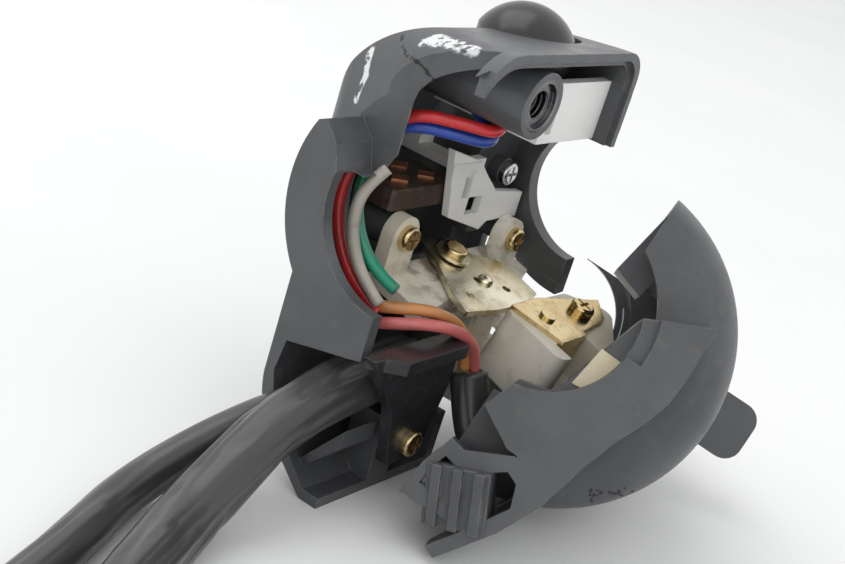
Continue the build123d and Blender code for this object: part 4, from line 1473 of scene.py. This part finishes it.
@dataclass
class Studio:
    """Camera at the photograph's angle, soft lights, pale floor and sky.

    Args:
        place: Place of the camera.
        right: Direction to the right of its picture.
        up: Direction upwards in it; not used.
        back: Direction from the picture to the camera.
        sky: Strength of the sky's light.
        key: Place of the key lamp.
        key_size: Side of the key lamp.
        key_power: Power of the key lamp in watts.
        fill: Place of the fill lamp.
        fill_size: Side of the fill lamp.
        fill_power: Power of the fill lamp in watts.
        aim: Point that both lamps shine on.
        floor_half: Half the side of the floor.
    """

    place: Point = (0.21397, 0.09805, 0.06312)
    right: Point = (-0.566, 0.773, 0.284)
    up: Point = (-0.132, -0.426, 0.895)
    back: Point = (0.813, 0.469, 0.344)
    sky: float = 0.8
    key: Point = (0.1, -0.35, 0.75)
    key_size: float = 0.7
    key_power: float = 2.4
    fill: Point = (0.55, 0.5, 0.5)
    fill_size: float = 0.6
    fill_power: float = 0.8
    aim: Point = (0.02, 0.0, 0.0)
    floor_half: float = 2.5

    def camera(self) -> None:
        """Put the camera where the photograph was taken from."""
        data = bpy.data.cameras.new("photo_camera")
        data.sensor_width = SENSOR_WIDTH
        data.lens = FOCAL_PIXELS * SENSOR_WIDTH / IMAGE_WIDTH
        data.clip_start = 0.01
        camera = bpy.data.objects.new("photo_camera", data)
        back = Vector(self.back).normalized()
        right = Vector(self.right)
        right = (right - back * right.dot(back)).normalized()
        up = back.cross(right)
        turn = Matrix((right, up, back)).transposed().to_4x4()
        camera.matrix_world = Matrix.Translation(self.place) @ turn
        bpy.context.scene.collection.objects.link(camera)
        bpy.context.scene.camera = camera

    def lamp(self, name: str, place: Point, size: float, power: float) -> None:
        """Add one square area lamp that shines on the cluster's middle.

        Args:
            name: Name of the lamp.
            place: Where it hangs.
            size: Its side.
            power: Its power in watts.
        """
        data = bpy.data.lights.new(name, "AREA")
        data.size = size
        data.energy = power
        lamp = bpy.data.objects.new(name, data)
        turn = (Vector(self.aim) - Vector(place)).to_track_quat("-Z", "Y")
        lamp.matrix_world = Matrix.Translation(place) @ turn.to_matrix().to_4x4()
        bpy.context.scene.collection.objects.link(lamp)

    def sky_light(self) -> None:
        """Even pale sky that the camera and reflections see as white."""
        world = bpy.data.worlds.new("studio_sky")
        bpy.context.scene.world = world
        world.use_nodes = True
        tree = Tree(world.node_tree)
        ray = tree.add("ShaderNodeLightPath").outputs
        seen = tree.math("MAXIMUM", ray["Is Camera Ray"], ray["Is Glossy Ray"])
        seen = tree.math("MAXIMUM", seen, ray["Is Transmission Ray"])
        plain = tree.add("ShaderNodeBackground", {"Strength": self.sky}).outputs[0]
        white = tree.add("ShaderNodeBackground", {"Strength": 1.0}).outputs[0]
        for background in (plain, white):
            background.node.inputs["Color"].default_value = (1.0, 1.0, 1.0, 1.0)
        both = tree.add("ShaderNodeMixShader", {0: seen, 1: plain, 2: white}).outputs[0]
        tree.add("ShaderNodeOutputWorld", {"Surface": both})

    def floor(self) -> None:
        """Large pale floor just under the part."""
        half = self.floor_half
        corners = [(-half, -half), (half, -half), (half, half), (-half, half)]
        mesh = bpy.data.meshes.new("studio_floor")
        mesh.from_pydata([(x, y, FLOOR_Z) for x, y in corners], [], [(0, 1, 2, 3)])
        floor = bpy.data.objects.new("studio_floor", mesh)
        material = bpy.data.materials.new("pale_paper")
        material.use_nodes = True
        tree = Tree(material.node_tree)
        where = tree.add("ShaderNodeTexCoord").outputs["Object"]
        tone = tree.ramp(tree.noise(where, 9.0), 0.3, 0.7)
        colour = tree.mix(tone, (0.9, 0.91, 0.915), (0.93, 0.935, 0.94))
        values = {"Base Color": colour, "Roughness": 0.75}
        shader = tree.add("ShaderNodeBsdfPrincipled", values)
        tree.add("ShaderNodeOutputMaterial", {"Surface": shader.outputs[0]})
        mesh.materials.append(material)
        bpy.context.scene.collection.objects.link(floor)

    def build(self) -> None:
        """Set up camera, lights, floor and the plain view transform."""
        self.camera()
        self.sky_light()
        self.floor()
        self.lamp("key_lamp", self.key, self.key_size, self.key_power)
        self.lamp("fill_lamp", self.fill, self.fill_size, self.fill_power)
        bpy.context.scene.view_settings.view_transform = "Standard"


def main() -> None:
    """Build the scene round the frame."""
    logging.basicConfig(level=logging.INFO, format="%(name)s: %(message)s")
    paint = Paint()
    Studio().build()
    paint.cad_nodes({
        "rear_shell": "scuffed_plastic",
        "horn_button": "glossy_plastic", "cable_clamp": "glossy_plastic",
        # The bracket and horn base wear the nylon whitened as painted light, against the shell's
        # shade.
        "dimmer_slide": "painted_light_nylon", "horn_base": "painted_light_nylon",
        "main_connector": "clean_nylon", "side_connector": "clean_nylon",
        "screw_insert": "dark_steel", "silver_screw": "bright_steel",
    })
    Harness().build(paint)
    InnerWires().build(paint)
    CaseScrewInsert().build(paint)
    Crumbs(
        "skirt_crumbs", "front_shell", centre=(0.026, 0.0288, -0.0323), reach=0.0016,
        density=1.2e6, size=0.0005, seed=4,
    ).build(paint)
    Crumbs(
        "rim_crumbs", "front_shell", centre=(0.0238, 0.0305, -0.031), reach=0.0012,
        density=1.0e6, size=0.0004, seed=9,
    ).build(paint)
    Stud("plate_rivet", (0.0184, -0.0041, -0.0144), RIVET_PROFILE).build(paint)
    Stud("plate_eyelet", (0.0244, -0.002, -0.01527), EYELET_PROFILE).build(paint)
    HornSpring().build(paint)
    ClipBlock().build(paint)
    ThumbKnob("dimmer_knob", Body.DIMMER, ribs=5).build(paint)
    ThumbKnob("turn_knob", Body.TURN_THUMB, ribs=6).build(paint)


if __name__ == "__main__":
    main()
